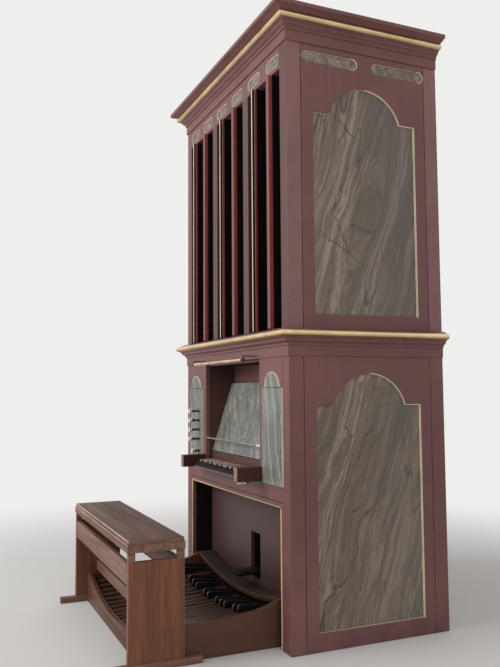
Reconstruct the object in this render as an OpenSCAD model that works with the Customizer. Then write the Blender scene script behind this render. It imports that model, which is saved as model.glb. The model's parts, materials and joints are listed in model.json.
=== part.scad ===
// Small pipe organ in a painted case, with its pedalboard and bench.
// X runs along the front, Y goes into the case, Z is up, sizes in millimetres.

/* [Case] */
// Width of the case over its corner posts
case_w = 1560; // [1500:10:1640]
// Depth of the case from front plane to back
case_d = 954; // [900:2:1020]
// Height of the underside of the middle cornice
lower_h = 1473; // [1440:1:1520]
// Height of the bottom edge of the top cornice above the deck
upper_h = 1502; // [1400:2:1700]
// Thickness of the framed boards
board_t = 24; // [22:1:28]
// Front width of the lower corner posts
post_w = 69; // [60:1:80]
// Front width of the upper corner posts
upper_post_w = 76; // [66:1:86]
// Depth of every corner post on the side of the case
post_d = 85; // [70:1:100]
// Thickness of the gilt edge round each marbled panel
rim_w = 2.5; // [2:0.5:5]
// Depth of the marbled side panels behind the frame face
panel_inset = 12; // [8:1:12]
// Thickness of the marbled panels
panel_t = 10; // [6:1:10]
// Width of the grooves beside the corner posts
post_seam = 3; // [2:0.5:4]
// Depth of every groove between two boards
seam_d = 4; // [2:0.5:6]

/* [Side panels] */
// Stile between a corner post and the marbled side panel
side_stile = 70; // [60:1:90]
// Bottom of the lower marbled side panel above the floor
side_low_z = 90; // [70:1:130]
// Frame over the arch of the lower side panel
side_low_head = 87; // [70:1:160]
// Bottom of the upper marbled side panel above the deck
side_up_z = 73; // [60:1:110]
// Frame over the arch of the upper side panel
side_up_head = 195; // [170:1:280]
// Step between the shoulder's end and the foot of the arch
side_step = 98; // [80:1:130]
// Rise of the side panel arches
side_rise = 166; // [120:1:180]
// Margin round the plain panels of the back
back_stile = 80; // [60:1:110]
// Radius of the keyholes in the side frames
keyhole_r = 5; // [3:0.5:7]
// Height of the upper keyhole above the deck
keyhole_z = 701; // [600:1:800]
// Height of the lower keyhole above the floor
keyhole_low_z = 839; // [700:1:900]

/* [Front jambs] */
// Width of the console niche
niche_w = 842; // [800:2:860]
// Bottom of the jamb panels above the floor
jamb_z = 811; // [806:1:830]
// Joint between the jambs and the knee frame, below the jamb panels
jamb_foot = 30; // [26:1:40]
// Painted margin over the arch of a jamb panel
jamb_head = 76; // [60:1:120]
// Painted margin between the niche and a jamb panel
jamb_margin = 51; // [40:1:60]
// Step at each foot of a jamb arch
jamb_step = 31; // [24:1:40]
// Rise of the jamb arches
jamb_rise = 81; // [60:1:86]
// Dark seam between a jamb panel and its arch
seam = 3; // [2:0.5:5]
// Distance the jamb panels stand in front of the jambs
jamb_proud = 10; // [6:1:12]

/* [Niche] */
// Gap between the top edge of the music desk and the back of the niche
desk_back = 5.897; // [3:0.001:40]
// Height of the foot of the music desk
desk_z = 916; // [905:1:930]
// Distance of the foot of the music desk behind the front plane
desk_y = 42; // [36:1:60]
// Thickness of the niche's boards
niche_t = 16; // [12:1:20]
// Open height over the music desk
desk_gap = 108; // [80:1:160]
// Lean of the music desk from upright
desk_lean = 18; // [12:1:19]
// Thickness of the music desk
desk_t = 12; // [8:1:16]
// Thickness of the board between keys and desk
name_t = 18; // [14:1:24]
// Radius of the rail in front of the desk
rail_r = 6; // [4:0.5:8]
// Height of the rail
rail_z = 998; // [980:1:1020]
// Length of the lamp tube
lamp_len = 798; // [700:2:820]
// Radius of the lamp tube
lamp_r = 9; // [7:0.5:12]
// Distance of the lamp in front of the front plane
lamp_y = 90; // [80:1:110]
// Distance of the lamp tube below the middle cornice
lamp_drop = 7; // [1:1:12]
// Radius of the lamp arms
arm_r = 3; // [2:0.5:5]

/* [Manual] */
// Height of the natural keys above the floor
key_z = 851; // [845:1:860]
// Length of the natural keys in view
key_len = 137; // [130:1:145]
// Number of natural keys
naturals = 36; // [29:1:36]
// Gap between neighbouring keys
key_gap = 1; // [0.8:0.1:1.5]
// Depth of the front lip of the keys
key_lip = 20; // [16:1:24]
// Length of the sharp keys
sharp_len = 92; // [85:1:98]
// Width of the sharp keys
sharp_w = 11; // [9:0.5:13]
// Height of the sharp keys over the naturals
sharp_h = 12; // [10:0.5:14]
// Width of a key cheek
cheek_w = 47; // [40:1:50]
// Reach of the key cheeks in front of the case
cheek_y = 154; // [120:1:165]
// Height of the key cheeks
cheek_h = 75; // [60:1:80]
// Underside of the key cheeks and the key slip above the floor
cheek_z = 817; // [812:1:825]
// Reach of the key slip in front of the case
slip_y = 82; // [70:1:90]

/* [Stops] */
// Distance of the stop knobs from the inner edge of the jamb panel
stop_margin = 58; // [30:1:110]
// Middle of the column of stop knobs below the middle of the jamb panel
stop_sink = 25.25; // [15:0.25:35]
// Step from the lowest knob to the next
stop_first = 78; // [60:1:90]
// Step between the other knobs
stop_step = 60.5; // [50:0.5:65]
// Radius of a knob's head
stop_r = 16; // [12:0.5:20]
// Radius of a knob's shank
shank_r = 6; // [4:0.5:8]
// Clearance round a shank in the jamb panel
shank_gap = 0.3; // [0.2:0.1:1]
// Length of a knob in front of the case when it is in
stop_in = 60; // [50:1:70]
// Travel of a stop knob
stop_travel = 18; // [12:1:25]
// Length of a knob's head with its groove, ring and cone
stop_head = 38; // [34:1:38]
// Radius of the rosette round each shank
rosette_r = 13; // [11:0.5:15]
// Thickness of the rosettes
rosette_t = 6; // [4:0.5:7]

/* [Knee hole] */
// Painted margin between a corner post and the knee hole
knee_margin = 38; // [30:1:50]
// Height of the knee hole
knee_h = 699; // [680:1:710]
// Height of the rail over the knee hole
knee_rail_h = 28; // [24:1:36]
// Depth of the knee hole
knee_d = 134; // [130:1:180]
// Radius of the gilt bead round the knee hole
bead_r = 5; // [3:0.5:6]
// Centre of the swell pedal from the centre line
swell_x = 55; // [20:1:80]
// Width of the slot for the swell pedal
slot_w = 133; // [125:1:150]
// Bottom of the slot above the floor
slot_z = 205; // [195:1:210]
// Height of the slot
slot_h = 260; // [240:1:300]
// Depth of the box behind the slot
slot_d = 190; // [180:1:240]
// Width of the swell pedal
shoe_w = 108; // [90:1:118]
// Distance of the swell pedal's front end behind the front plane
shoe_front = 2; // [0:1:20]
// Length of the swell pedal
shoe_len = 270; // [230:1:290]
// Thickness of the swell pedal
shoe_t = 22; // [16:1:26]
// Height of the top of the swell pedal above the floor
shoe_z = 258; // [250:1:270]
// Wall of the box behind the slot
slot_t = 14; // [12:1:18]
// Length of the pivot pin in each wall of the box
shoe_pin_len = 8; // [6:1:10]
// Radius of the swell pedal's pivot pin
shoe_pin_r = 6; // [5:0.5:8]

/* [Cornices] */
// Height of the middle cornice
mid_h = 144; // [135:1:160]
// Thickness of the deck inside the middle cornice
deck_t = 30; // [26:1:40]
// Greatest reach of the middle cornice
mid_reach = 66; // [60:1:80]
// Height of the top cornice
top_h = 165; // [155:1:180]
// Greatest reach of the top cornice
top_reach = 100; // [85:1:120]
// Radius of the gilt beads of the cornices
torus_r = 16; // [13:0.5:18]

/* [Upper front] */
// Width of each of the two stiles between the three openings
stile_w = 74; // [70:1:90]
// Height of the header over the openings
header_h = 122; // [110:1:140]
// Depth of the upright stiles between the openings
stile_d = 45; // [40:1:50]
// Length of a pill panel on the front
pill_w = 172; // [150:1:185]
// Height of the pill panels
pill_h = 64; // [54:1:72]
// Height of the pill panels' centre below the top cornice
pill_drop = 65; // [56:1:72]
// Depth of the pill panels behind the face round them
pill_inset = 8; // [4:1:10]
// Thickness of the pill panels
pill_t = 4; // [3:1:6]
// Length of a pill panel on the sides
side_pill_w = 347; // [300:1:360]

/* [Shutters] */
// What a leaf is narrower than half an opening
leaf_clear = 11; // [11:1:20]
// Thickness of a shutter leaf
leaf_t = 32; // [26:1:36]
// Distance of the shutter pivots behind the front plane
leaf_y = 77; // [72:1:90]
// Distance of each pivot from the middle of its half opening, towards the other leaf
leaf_shift = 1; // [0:0.5:2]
// Depth of the rail that holds the upper pivots
pivot_rail_d = 70; // [60:1:90]
// Height of that rail
pivot_rail_h = 40; // [34:1:60]
// Running gap above and below a leaf
leaf_gap = 5; // [5:0.5:8]
// Radius of the shutter pivot pins
pin_r = 6; // [5:0.5:8]
// Length of the shutter pivot pins in their sockets
pin_len = 20; // [14:1:24]
// Radius of the gilt bead on the meeting edges
astragal_r = 12; // [8:0.5:13]
// Radial clearance of every pivot
run_gap = 0.05; // [0.03:0.01:0.1]

/* [Pipes] */
// Number of pipes in the visible row
pipes_n = 25; // [19:2:29]
// Radius of the largest pipe
pipe_r = 27; // [22:1:27]
// Radius of the smallest pipe
pipe_r_min = 11; // [8:1:14]
// Wall of the pipes
pipe_wall = 1.5; // [1:0.1:2]
// Length of the longest pipe body
pipe_len = 1040; // [900:10:1050]
// Length of the shortest pipe body
pipe_len_min = 420; // [300:10:600]
// Length of the pipe feet
foot_len = 170; // [150:5:200]
// Distance of the pipe row behind the front plane
pipe_y = 300; // [270:5:400]
// Height of the windchest
chest_h = 110; // [90:5:120]
// Windchest in front of the pipe row
chest_front = 70; // [55:1:90]
// Gap between the windchest and the back corner posts
chest_back = 15; // [5:1:60]
// Gap between the windchest and the side frames
rack_side = 20; // [10:1:22]
// Depth of the rack board
rack_w = 100; // [70:1:120]
// Thickness of the rack board's two legs
rack_leg_t = 10; // [8:1:11]
// Side clearance of the pipe row
pipe_side = 30; // [28:1:40]
// Thickness of the rack board
rack_t = 16; // [12:1:20]
// Height of the rack board above the windchest
rack_gap = 110; // [90:5:130]

/* [Pedalboard] */
// Gap between the pedalboard and the sides of the knee hole
pedal_side = 50; // [40:1:60]
// Distance of the heel end in front of the front plane
pedal_y = 713; // [690:1:730]
// Distance of the toe rail's face behind the front plane
toe_y = 17; // [10:1:30]
// Thickness of the pedalboard's cheeks and heel rail
pedal_t = 28; // [22:1:34]
// Height of the cheeks at the heel end
pedal_cheek_h = 176; // [165:1:190]
// Height of the cheeks at the toe end
pedal_toe_h = 236; // [220:1:250]
// Length over which the cheeks' tops sweep up to the toe rail
pedal_sweep = 300; // [200:10:400]
// Gap between the pedalboard and the knee panel
pedal_gap = 6; // [5:1:12]
// Thickness of the board behind the toe rail
toe_board_t = 12; // [8:1:16]
// Height of the heel rail at the centre line
heel_h = 85; // [75:1:95]
// Centre height of the toe rail on the centre line
toe_h = 156; // [150:1:160]
// Height of the toe rail's section
toe_t = 28; // [22:1:34]
// Depth of the toe rail's section
toe_d = 36; // [28:1:40]
// Rise of the concave row from its centre to its ends
dish = 71; // [50:1:78]
// Rise of the heel rail from its centre to its ends
heel_dish = 89; // [70:1:91]
// Number of natural pedals
pedals = 18; // [14:1:18]
// Distance of the outer natural pedals' centres from the cheeks
pedal_edge = 42.5; // [38:0.5:60]
// Width of a natural pedal
pedal_nat_w = 24; // [20:1:28]
// Thickness of a natural pedal
pedal_nat_t = 26; // [20:1:32]
// Top of a natural pedal at the heel end on the centre line
pedal_heel_z = 76; // [70:1:80]
// Top of a natural pedal at the toe end on the centre line
pedal_toe_z = 114; // [100:1:118]
// Length of a sharp pedal
pedal_sharp_len = 160; // [140:1:180]
// Height of a sharp pedal over the naturals
pedal_sharp_h = 40; // [30:1:48]
// Width of a sharp pedal
pedal_sharp_w = 19; // [16:1:26]
// Width of a bar's flat seat on the bearers
seat_w = 27; // [27:0.5:30]
// Gap between a bar and its seat
seat_gap = 0.3; // [0.2:0.1:1]
// Depth of the bearer at the heel end
comb_d = 40; // [30:1:60]

/* [Bench] */
// Gap between the pedalboard and the bench's end panels
bench_side = 6; // [6:1:20]
// Thickness of the bench's end panels
bench_t = 30; // [24:1:30]
// Depth of the end panels
bench_d = 277; // [250:1:300]
// Distance of the bench's middle from the front plane
bench_y = 645; // [630:1:660]
// Height of the end panels
bench_h = 502; // [480:1:520]
// Height of the feet
foot_h = 34; // [26:1:40]
// Length of the feet
foot_w = 460; // [420:2:480]
// Height of the long rail under the seat
bench_rail_h = 100; // [80:1:120]
// Thickness of the bench's rails
bench_rail_t = 24; // [20:1:28]
// Height of the middle stretcher's lower edge
stretcher_z = 187; // [186:1:240]
// Height of the middle stretcher
stretcher_h = 62; // [50:1:80]
// Height of the blocks that carry the seat
block_h = 41; // [30:1:60]
// Depth of each block
block_d = 34; // [28:1:50]
// Thickness of the lower seat plank
seat_t = 38; // [30:1:44]
// Thickness of the upper seat plank
seat_top_t = 18; // [14:1:24]
// Set-back of the upper plank's edges
seat_lip = 5; // [2:1:12]
// Depth of the seat
seat_d = 287; // [270:1:320]

/* [Hidden] */
$fn = 48;
deck_z = lower_h + mid_h;
top_z = deck_z + upper_h;
roof_z = top_z + top_h;
bay_top = top_z - header_h;
bay_w = (case_w - 2*upper_post_w - 2*stile_w)/3;
leaf_w = bay_w/2 - leaf_clear;
leaf_pitch = bay_w/4 - leaf_shift;
knee_w = case_w - 2*post_w - 2*knee_margin;
pedal_w = knee_w - 2*pedal_side;
bench_w = pedal_w + 2*(bench_side + bench_t);
jamb_shoulder = lower_h - jamb_head - jamb_rise;
desk_len = (lower_h - niche_t - desk_z - desk_gap)/cos(desk_lean);
niche_d = desk_y + desk_len*sin(desk_lean) + desk_t*cos(desk_lean) + desk_back;
lamp_z = lower_h - lamp_drop;
side_low_shoulder = lower_h - side_low_head - side_rise;
side_up_shoulder = upper_h - side_up_head - side_rise;
bay_pitch = bay_w + stile_w;
bay_x = [-bay_pitch, 0, bay_pitch];
leaf_z = deck_z + leaf_gap;
leaf_h = bay_top - deck_z - 2*leaf_gap;
foot_y = bench_y + foot_w/2;
y_mid = (case_d - foot_y)/2;
knee_top = jamb_z - jamb_foot;
niche_z = knee_top + niche_t + 4;
key_y = desk_y - key_len;
key_pitch = niche_w/naturals;
shoe_y = knee_d + board_t + shoe_pin_r + 10;
shoe_pin_z = shoe_z - shoe_t - shoe_pin_r + 2;
in_x = case_w/2 - board_t;
pedal_back = knee_d - pedal_gap;
pedal_in = pedal_w/2 - pedal_t;
pedal_pitch = 2*(pedal_in - pedal_edge)/(pedals - 1);
sag = dish/(pedal_in*pedal_in);
pedal_slope = (pedal_toe_z - pedal_heel_z)/(pedal_y - pedal_t + toe_y + toe_d);
stop_z = (jamb_z + jamb_shoulder - seam)/2 - stop_sink - (stop_first + 3*stop_step)/2;
stops = [stop_z, stop_z + stop_first, stop_z + stop_first + stop_step,
         stop_z + stop_first + 2*stop_step, stop_z + stop_first + 3*stop_step];
chest_top = deck_z + chest_h;
rack_z = chest_top + rack_gap;
pipe_pitch = (2*in_x - 2*pipe_side)/pipes_n;
mauve = [0.42, 0.29, 0.28];
marble = [0.55, 0.57, 0.52];
gilt = [0.80, 0.65, 0.36];
oak = [0.60, 0.43, 0.31];
dark = [0.13, 0.09, 0.08];

// Every piece is drawn from the front plane and moved to the middle of the whole
module place() { translate([0, -y_mid, 0]) children(); }
module both() { children(); mirror([1, 0, 0]) children(); }
module block(x0, x1, y0, y1, z0, z1) { translate([x0, y0, z0]) cube([x1 - x0, y1 - y0, z1 - z0]); }
// Outline in X and Z pushed from y0 to y1
module along_y(y0, y1) { translate([0, y1, 0]) rotate([90, 0, 0]) linear_extrude(y1 - y0) children(); }
// Outline in Y and Z pushed from x0 to x1
module along_x(x0, x1) { translate([x0, 0, 0]) rotate([90, 0, 90]) linear_extrude(x1 - x0) children(); }

// Panel with square shoulders and a round arch, drawn in by i on every side
module arched(w, z0, shoulder, step, rise, i = 0) {
    f = w/2 - step;
    r = (f*f + rise*rise)/(2*rise);
    translate([-w/2 + i, z0 + i]) square([w - 2*i, shoulder - z0 - 2*i]);
    intersection() {
        translate([0, shoulder + rise - r]) circle(r - i, $fn = 96);
        translate([-w/2, shoulder - 2*rim_w]) square([w, rise + 2*rim_w]);
    }
}
side_w = case_d - 2*post_d - 2*side_stile;
module side_outline(up, i = 0) {
    translate([case_d/2, 0])
        if (up) arched(side_w, deck_z + side_up_z, deck_z + side_up_shoulder, side_step, side_rise, i);
        else arched(side_w, side_low_z, side_low_shoulder, side_step, side_rise, i);
}
module side_pills(i = 0) {
    for (y = [post_d + 2 + side_pill_w/2, case_d - post_d - 2 - side_pill_w/2])
        translate([y, top_z - pill_drop]) capsule(side_pill_w, pill_h, i);
}
module front_pills(i = 0) {
    for (x = [-2.5:1:2.5]) translate([x*bay_pitch/2, top_z - pill_drop]) capsule(pill_w, pill_h, i);
}
module capsule(w, h, i = 0) {
    for (s = [-1, 1]) translate([s*(w - h)/2, 0]) circle(h/2 - i);
    translate([-(w - h)/2, -h/2 + i]) square([w - h, h - 2*i]);
}

module corner_posts() color(mauve) place() both() {
    block(case_w/2 - post_w, case_w/2, 0, post_d, 0, lower_h);
    block(case_w/2 - post_w, case_w/2, case_d - post_d, case_d, 0, lower_h);
    block(case_w/2 - upper_post_w, case_w/2, 0, post_d, deck_z, top_z);
    block(case_w/2 - upper_post_w, case_w/2, case_d - post_d, case_d, deck_z, top_z);
}
module lower_sides() color(mauve) place() both() difference() {
    block(in_x, case_w/2, post_d, case_d - post_d, 0, lower_h);
    along_x(in_x - 1, case_w/2 + 1) side_outline(false);
    side_keyhole(keyhole_low_z);
    side_grooves();
}
module side_grooves() {
    for (y = [post_d - 1, case_d - post_d - post_seam])
        block(case_w/2 - seam_d, case_w/2 + 1, y, y + post_seam + 1, -1, top_z + 1);
}
module side_keyhole(z) {
    translate([case_w/2 - panel_inset, post_d + side_stile/2, z])
        rotate([0, 90, 0]) cylinder(h = 2*panel_inset, r = keyhole_r);
}
module upper_sides() color(mauve) place() both() difference() {
    block(in_x, case_w/2, post_d, case_d - post_d, deck_z, top_z);
    along_x(in_x - 1, case_w/2 + 1) side_outline(true);
    along_x(case_w/2 - pill_inset - pill_t, case_w/2 + 1) side_pills();
    side_keyhole(deck_z + keyhole_z);
    side_grooves();
}
module side_panels() color(marble) place() both()
    for (up = [false, true])
        along_x(case_w/2 - panel_inset - panel_t, case_w/2 - panel_inset) side_outline(up);
// Gilt edges of every marbled panel
module panel_rims() color(gilt) place() {
    both() for (up = [false, true]) along_x(case_w/2 - panel_inset, case_w/2 - 1)
        difference() { side_outline(up); side_outline(up, rim_w); }
    both() along_y(-jamb_proud, panel_t) {
        difference() { jamb_rect(); jamb_rect(rim_w); }
        difference() { jamb_arch(); jamb_arch(rim_w); }
    }
    along_y(1, pill_inset) difference() { front_pills(); front_pills(rim_w); }
    both() along_x(case_w/2 - pill_inset, case_w/2 - 1) difference() { side_pills(); side_pills(rim_w); }
}
module back_boards() color(mauve) place()
    for (b = [[post_w, 0, lower_h], [upper_post_w, deck_z, top_z]]) {
        hw = case_w/2 - b[0];
        difference() {
            block(-hw, hw, case_d - board_t, case_d, b[1], b[2]);
            for (s = [-1, 1]) translate([s*hw/2 - (hw - 2*back_stile)/2, case_d - panel_inset, b[1] + back_stile])
                cube([hw - 2*back_stile, 2*panel_inset, b[2] - b[1] - 2*back_stile]);
        }
    }

// Jambs beside the niche
jamb_x = niche_w/2 + jamb_margin;
jamb_pw = case_w/2 - post_w - jamb_x;
stop_x = jamb_x + stop_margin;
stop_tail = panel_t + stop_travel + 16;
module jamb_rect(i = 0) {
    translate([jamb_x + i, jamb_z + i]) square([jamb_pw - 2*i, jamb_shoulder - seam - jamb_z - 2*i]);
}
module jamb_arch(i = 0) {
    f = jamb_pw/2 - jamb_step;
    r = (f*f + jamb_rise*jamb_rise)/(2*jamb_rise);
    intersection() {
        translate([jamb_x + jamb_pw/2, jamb_shoulder + jamb_rise - r]) circle(r - i, $fn = 72);
        translate([jamb_x, jamb_shoulder + i]) square([jamb_pw, jamb_rise]);
    }
}
module jambs() color(mauve) place() both() difference() {
    block(niche_w/2, case_w/2 - post_w, 0, board_t, knee_top, lower_h);
    along_y(-1, board_t + 1) { jamb_rect(); jamb_arch(); }
    block(case_w/2 - post_w - post_seam, case_w/2 - post_w + 1, -1, seam_d, knee_top - 1, lower_h + 1);
}
module jamb_panels() color(marble) place() difference() {
    both() along_y(-jamb_proud, panel_t) { jamb_rect(rim_w); jamb_arch(rim_w); }
    for (z = stops) translate([-stop_x, -jamb_proud - 1, z]) rotate([-90, 0, 0])
        cylinder(h = jamb_proud + panel_t + 2, r = shank_r + shank_gap);
}

// Knee hole
module knee_frame() color(mauve) place() difference() {
    block(-case_w/2 + post_w, case_w/2 - post_w, 0, board_t, 0, knee_top);
    block(-knee_w/2, knee_w/2, -1, board_t + 1, -1, knee_h);
    block(-case_w/2, case_w/2, -1, seam_d, knee_h + knee_rail_h, knee_h + knee_rail_h + seam);
}
module knee_bead() color(gilt) place() {
    translate([-knee_w/2 - bead_r, 0, knee_h + bead_r]) rotate([0, 90, 0])
        half_bead(knee_w + 2*bead_r);
    both() translate([knee_w/2 + bead_r, 0, 0]) half_bead(knee_h);
}
// Half round lying on the front plane, its length along Z
module half_bead(l) {
    linear_extrude(l) intersection() {
        circle(bead_r);
        translate([-2*bead_r, -2*bead_r]) square([4*bead_r, 2*bead_r]);
    }
}
module knee_panel() color(mauve) place() difference() {
    block(-knee_w/2, knee_w/2, knee_d, knee_d + board_t, 0, knee_h);
    block(swell_x - slot_w/2, swell_x + slot_w/2, knee_d - 1, knee_d + board_t + 1, slot_z, slot_z + slot_h);
}
module knee_walls() color(dark) place() {
    both() block(knee_w/2, knee_w/2 + 18, board_t, knee_d + board_t, 0, knee_h);
    block(-knee_w/2 - 18, knee_w/2 + 18, board_t, knee_d + board_t, knee_h, knee_h + 18);
}
module slot_box() color(dark) place() translate([swell_x, 0, 0]) difference() {
    block(-slot_w/2 - slot_t, slot_w/2 + slot_t, knee_d + board_t, knee_d + board_t + slot_d,
        slot_z - 60, slot_z + slot_h + slot_t);
    block(-slot_w/2, slot_w/2, knee_d + board_t - 1, knee_d + board_t + slot_d - slot_t,
        slot_z - 60 + slot_t, slot_z + slot_h);
    translate([0, shoe_y, shoe_pin_z]) rotate([0, 90, 0])
        cylinder(h = slot_w + 2*shoe_pin_len + 1, r = shoe_pin_r + run_gap, center = true);
}
module swell_pedal() color(dark) place() translate([swell_x, shoe_y, 0]) {
    along_x(-shoe_w/2, shoe_w/2) {
        translate([shoe_front - shoe_y, shoe_z - shoe_t]) square([shoe_len, shoe_t]);
        translate([-shoe_pin_r - 4, shoe_pin_z - shoe_pin_r - 4])
            square([2*shoe_pin_r + 8, shoe_z - shoe_pin_z]);
    }
    translate([0, 0, shoe_pin_z]) rotate([0, 90, 0])
        cylinder(h = slot_w + 2*shoe_pin_len, r = shoe_pin_r, center = true);
}

// Console niche
module niche_lining() color(mauve) place() difference() {
    block(-niche_w/2 - niche_t, niche_w/2 + niche_t, board_t, niche_d + niche_t, knee_top, lower_h);
    block(-niche_w/2, niche_w/2, board_t - 1, niche_d, niche_z, lower_h - niche_t);
}
module music_desk() color(marble) place() translate([0, desk_y, desk_z]) rotate([-desk_lean, 0, 0])
    translate([-niche_w/2 + 1, 0, 0]) cube([niche_w - 2, desk_t, desk_len]);
module music_rail() color(gilt) place() translate([-niche_w/2, 8, rail_z]) rotate([0, 90, 0])
    cylinder(h = niche_w, r = rail_r);
module console_lamp() color(gilt) place() translate([-lamp_len/2, -lamp_y, lamp_z])
    rotate([0, 90, 0]) cylinder(h = lamp_len, r = lamp_r);
module lamp_arms() color(dark) place() both() {
    translate([lamp_len/2, -lamp_y, lamp_z]) rotate([0, 90, 0]) cylinder(h = 14, r = lamp_r + 1);
    translate([lamp_len/2 + 7, -lamp_y, lamp_z + lamp_r]) cylinder(h = 16, r = arm_r);
    translate([lamp_len/2 + 7, -6, lamp_z + lamp_r + 12]) rotate([90, 0, 0])
        cylinder(h = lamp_y - 6, r = arm_r);
}

// Keyboard
module key_bed() color(mauve) place() {
    block(-niche_w/2, niche_w/2, -slip_y, 0, cheek_z, key_z - key_lip - 0.3);
    block(-niche_w/2, niche_w/2, 0, board_t, knee_top, key_z - key_lip - 0.3);
    block(-niche_w/2, niche_w/2, board_t, desk_y, niche_z, key_z - key_lip - 0.3);
}
module key_cheeks() color(dark) place() both()
    block(niche_w/2, niche_w/2 + cheek_w, -cheek_y, 0, cheek_z, cheek_z + cheek_h);
module cheek_switch() color([0.75, 0.7, 0.62]) place()
    block(niche_w/2 + 12, niche_w/2 + 32, -cheek_y + 14, -cheek_y + 74, cheek_z - 12, cheek_z);
module nameboard() color(mauve) place()
    block(-niche_w/2, niche_w/2, desk_y, desk_y + name_t, niche_z, desk_z - desk_t/3);
module natural_keys() color(dark) place() for (i = [0:naturals - 1])
    block(-niche_w/2 + i*key_pitch + key_gap/2, -niche_w/2 + (i + 1)*key_pitch - key_gap/2,
        key_y, desk_y - 0.3, key_z - key_lip, key_z);
module sharp_keys() color([0.86, 0.82, 0.74]) place() for (i = [1:naturals - 1])
    if ((i - 3)%7 != 0 && i%7 != 0)
        block(-niche_w/2 + i*key_pitch - sharp_w/2, -niche_w/2 + i*key_pitch + sharp_w/2,
            desk_y - 0.3 - sharp_len, desk_y - 0.3, key_z, key_z + sharp_h);

// Stop knobs: the lowest is in and the other four are drawn
module stop_knob(n) color(dark) place()
    translate([-stop_x, -stop_in - (n > 0 ? stop_travel : 0), stops[n]]) rotate([-90, 0, 0])
        rotate_extrude() polygon([[0, 0], [stop_r - 2, 0], [stop_r, 2], [stop_r, 5], [stop_r - 4, 6.5],
            [stop_r - 4, 10], [stop_r - 0.5, 11.5], [stop_r - 0.5, 14], [stop_r - 3, 15.5], [shank_r + 3, 25],
            [shank_r, stop_head], [shank_r, stop_in + stop_tail], [0, stop_in + stop_tail]]);
// Rosettes on the jamb panel, one round each shank
module stop_rosettes() color(dark) place() for (z = stops)
    translate([-stop_x, -jamb_proud - rosette_t, z]) rotate([-90, 0, 0]) difference() {
        cylinder(h = rosette_t, r1 = rosette_r - 4, r2 = rosette_r);
        translate([0, 0, -1]) cylinder(h = rosette_t + 2, r = shank_r + shank_gap);
    }
module stop_knob_1() stop_knob(0);
module stop_knob_2() stop_knob(1);
module stop_knob_3() stop_knob(2);
module stop_knob_4() stop_knob(3);
module stop_knob_5() stop_knob(4);

// Outline of reach and height carried round the front and both sides, with mitred corners
module around(reach, inner = 40) {
    hw = case_w/2;
    out = reach + 10;
    intersection() {
        translate([-hw - out, 0, 0]) rotate([90, 0, 90]) linear_extrude(case_w + 2*out)
            mirror([1, 0]) children();
        linear_extrude(roof_z + 50) polygon([[-hw - out, -out], [hw + out, -out],
            [hw - inner, inner], [-hw + inner, inner]]);
    }
    both() intersection() {
        translate([hw, case_d, 0]) rotate([90, 0, 0]) linear_extrude(case_d + out) children();
        linear_extrude(roof_z + 50) polygon([[hw + out, -out], [hw + out, case_d],
            [hw - inner, case_d], [hw - inner, inner]]);
    }
}
// Profiles: frieze, fillets, small bead seat and crown, as shares of reach and height
mid_seat = mid_reach - torus_r;
mid_bead_z = 0.68*mid_h;
module gilt_bead(seat, z) {
    translate([seat, z + torus_r]) intersection() {
        circle(torus_r);
        translate([0, -torus_r]) square([2*torus_r, 2*torus_r]);
    }
}
module mid_cornice() color(mauve) place() translate([0, 0, lower_h]) around(mid_reach)
    polygon(concat([for (p = [[0.09, 0], [0.09, 0.375], [0.21, 0.375], [0.21, 0.445], [0.30, 0.486],
            [0.515, 0.535], [0.515, 0.597]]) [p[0]*mid_reach, p[1]*mid_h]],
        [[mid_seat, mid_bead_z], [mid_seat, mid_bead_z + 2*torus_r], [0.3*mid_reach, mid_h],
            [-board_t, mid_h], [-board_t, 0]]));
module mid_bead() color(gilt) place() translate([0, 0, lower_h]) around(mid_reach)
    gilt_bead(mid_seat, mid_bead_z);
top_seat = 0.64*top_reach - torus_r;
top_bead_z = 0.588*top_h;
module top_cornice() color(mauve) place() translate([0, 0, top_z]) around(top_reach)
    polygon(concat([for (p = [[0.08, 0], [0.08, 0.34], [0.15, 0.34], [0.15, 0.4], [0.22, 0.448], [0.32, 0.479],
            [0.32, 0.533]]) [p[0]*top_reach, p[1]*top_h]],
        [[top_seat, top_bead_z], [top_seat, top_bead_z + 2*torus_r]],
        [for (p = [[0.64, 0.8], [0.8, 0.836], [0.92, 0.873], [1, 0.873], [1, 1]]) [p[0]*top_reach, p[1]*top_h]],
        [[-board_t, top_h], [-board_t, 0]]));
module top_bead() color(gilt) place() translate([0, 0, top_z]) around(top_reach)
    gilt_bead(top_seat, top_bead_z);
module deck() color(dark) place() difference() {
    block(-in_x, in_x, board_t, case_d, lower_h, deck_z);
    block(-in_x + 40, in_x - 40, board_t + 40, case_d - board_t, lower_h - 1, deck_z - deck_t);
    for (x = bay_x, s = [-1, 1]) translate([x + s*leaf_pitch, leaf_y, deck_z - pin_len - 1])
        cylinder(h = pin_len + 2, r = pin_r + run_gap);
}
module roof() color(dark) place() difference() {
    block(-in_x, in_x, board_t, case_d, top_z, roof_z - 12);
    block(-in_x + 40, in_x - 40, board_t + 40, case_d - board_t, top_z - 1, roof_z - 12 - deck_t);
}

// Upper front
module front_stiles() color(mauve) place() both()
    block(bay_w/2, bay_w/2 + stile_w, 0, stile_d, deck_z, bay_top);
module header() color(mauve) place() difference() {
    block(-case_w/2 + upper_post_w, case_w/2 - upper_post_w, 0, stile_d, bay_top, top_z);
    along_y(-1, pill_inset + pill_t) front_pills();
}
module pills() color(marble) place() {
    along_y(pill_inset, pill_inset + pill_t) front_pills();
    both() along_x(case_w/2 - pill_inset - pill_t, case_w/2 - pill_inset) side_pills();
}
module pivot_rail() color(dark) place() difference() {
    block(-case_w/2 + upper_post_w, case_w/2 - upper_post_w, stile_d, stile_d + pivot_rail_d, bay_top,
        bay_top + pivot_rail_h);
    for (x = bay_x, s = [-1, 1]) translate([x + s*leaf_pitch, leaf_y, bay_top - 1])
        cylinder(h = pin_len + 2, r = pin_r + run_gap);
}
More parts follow.
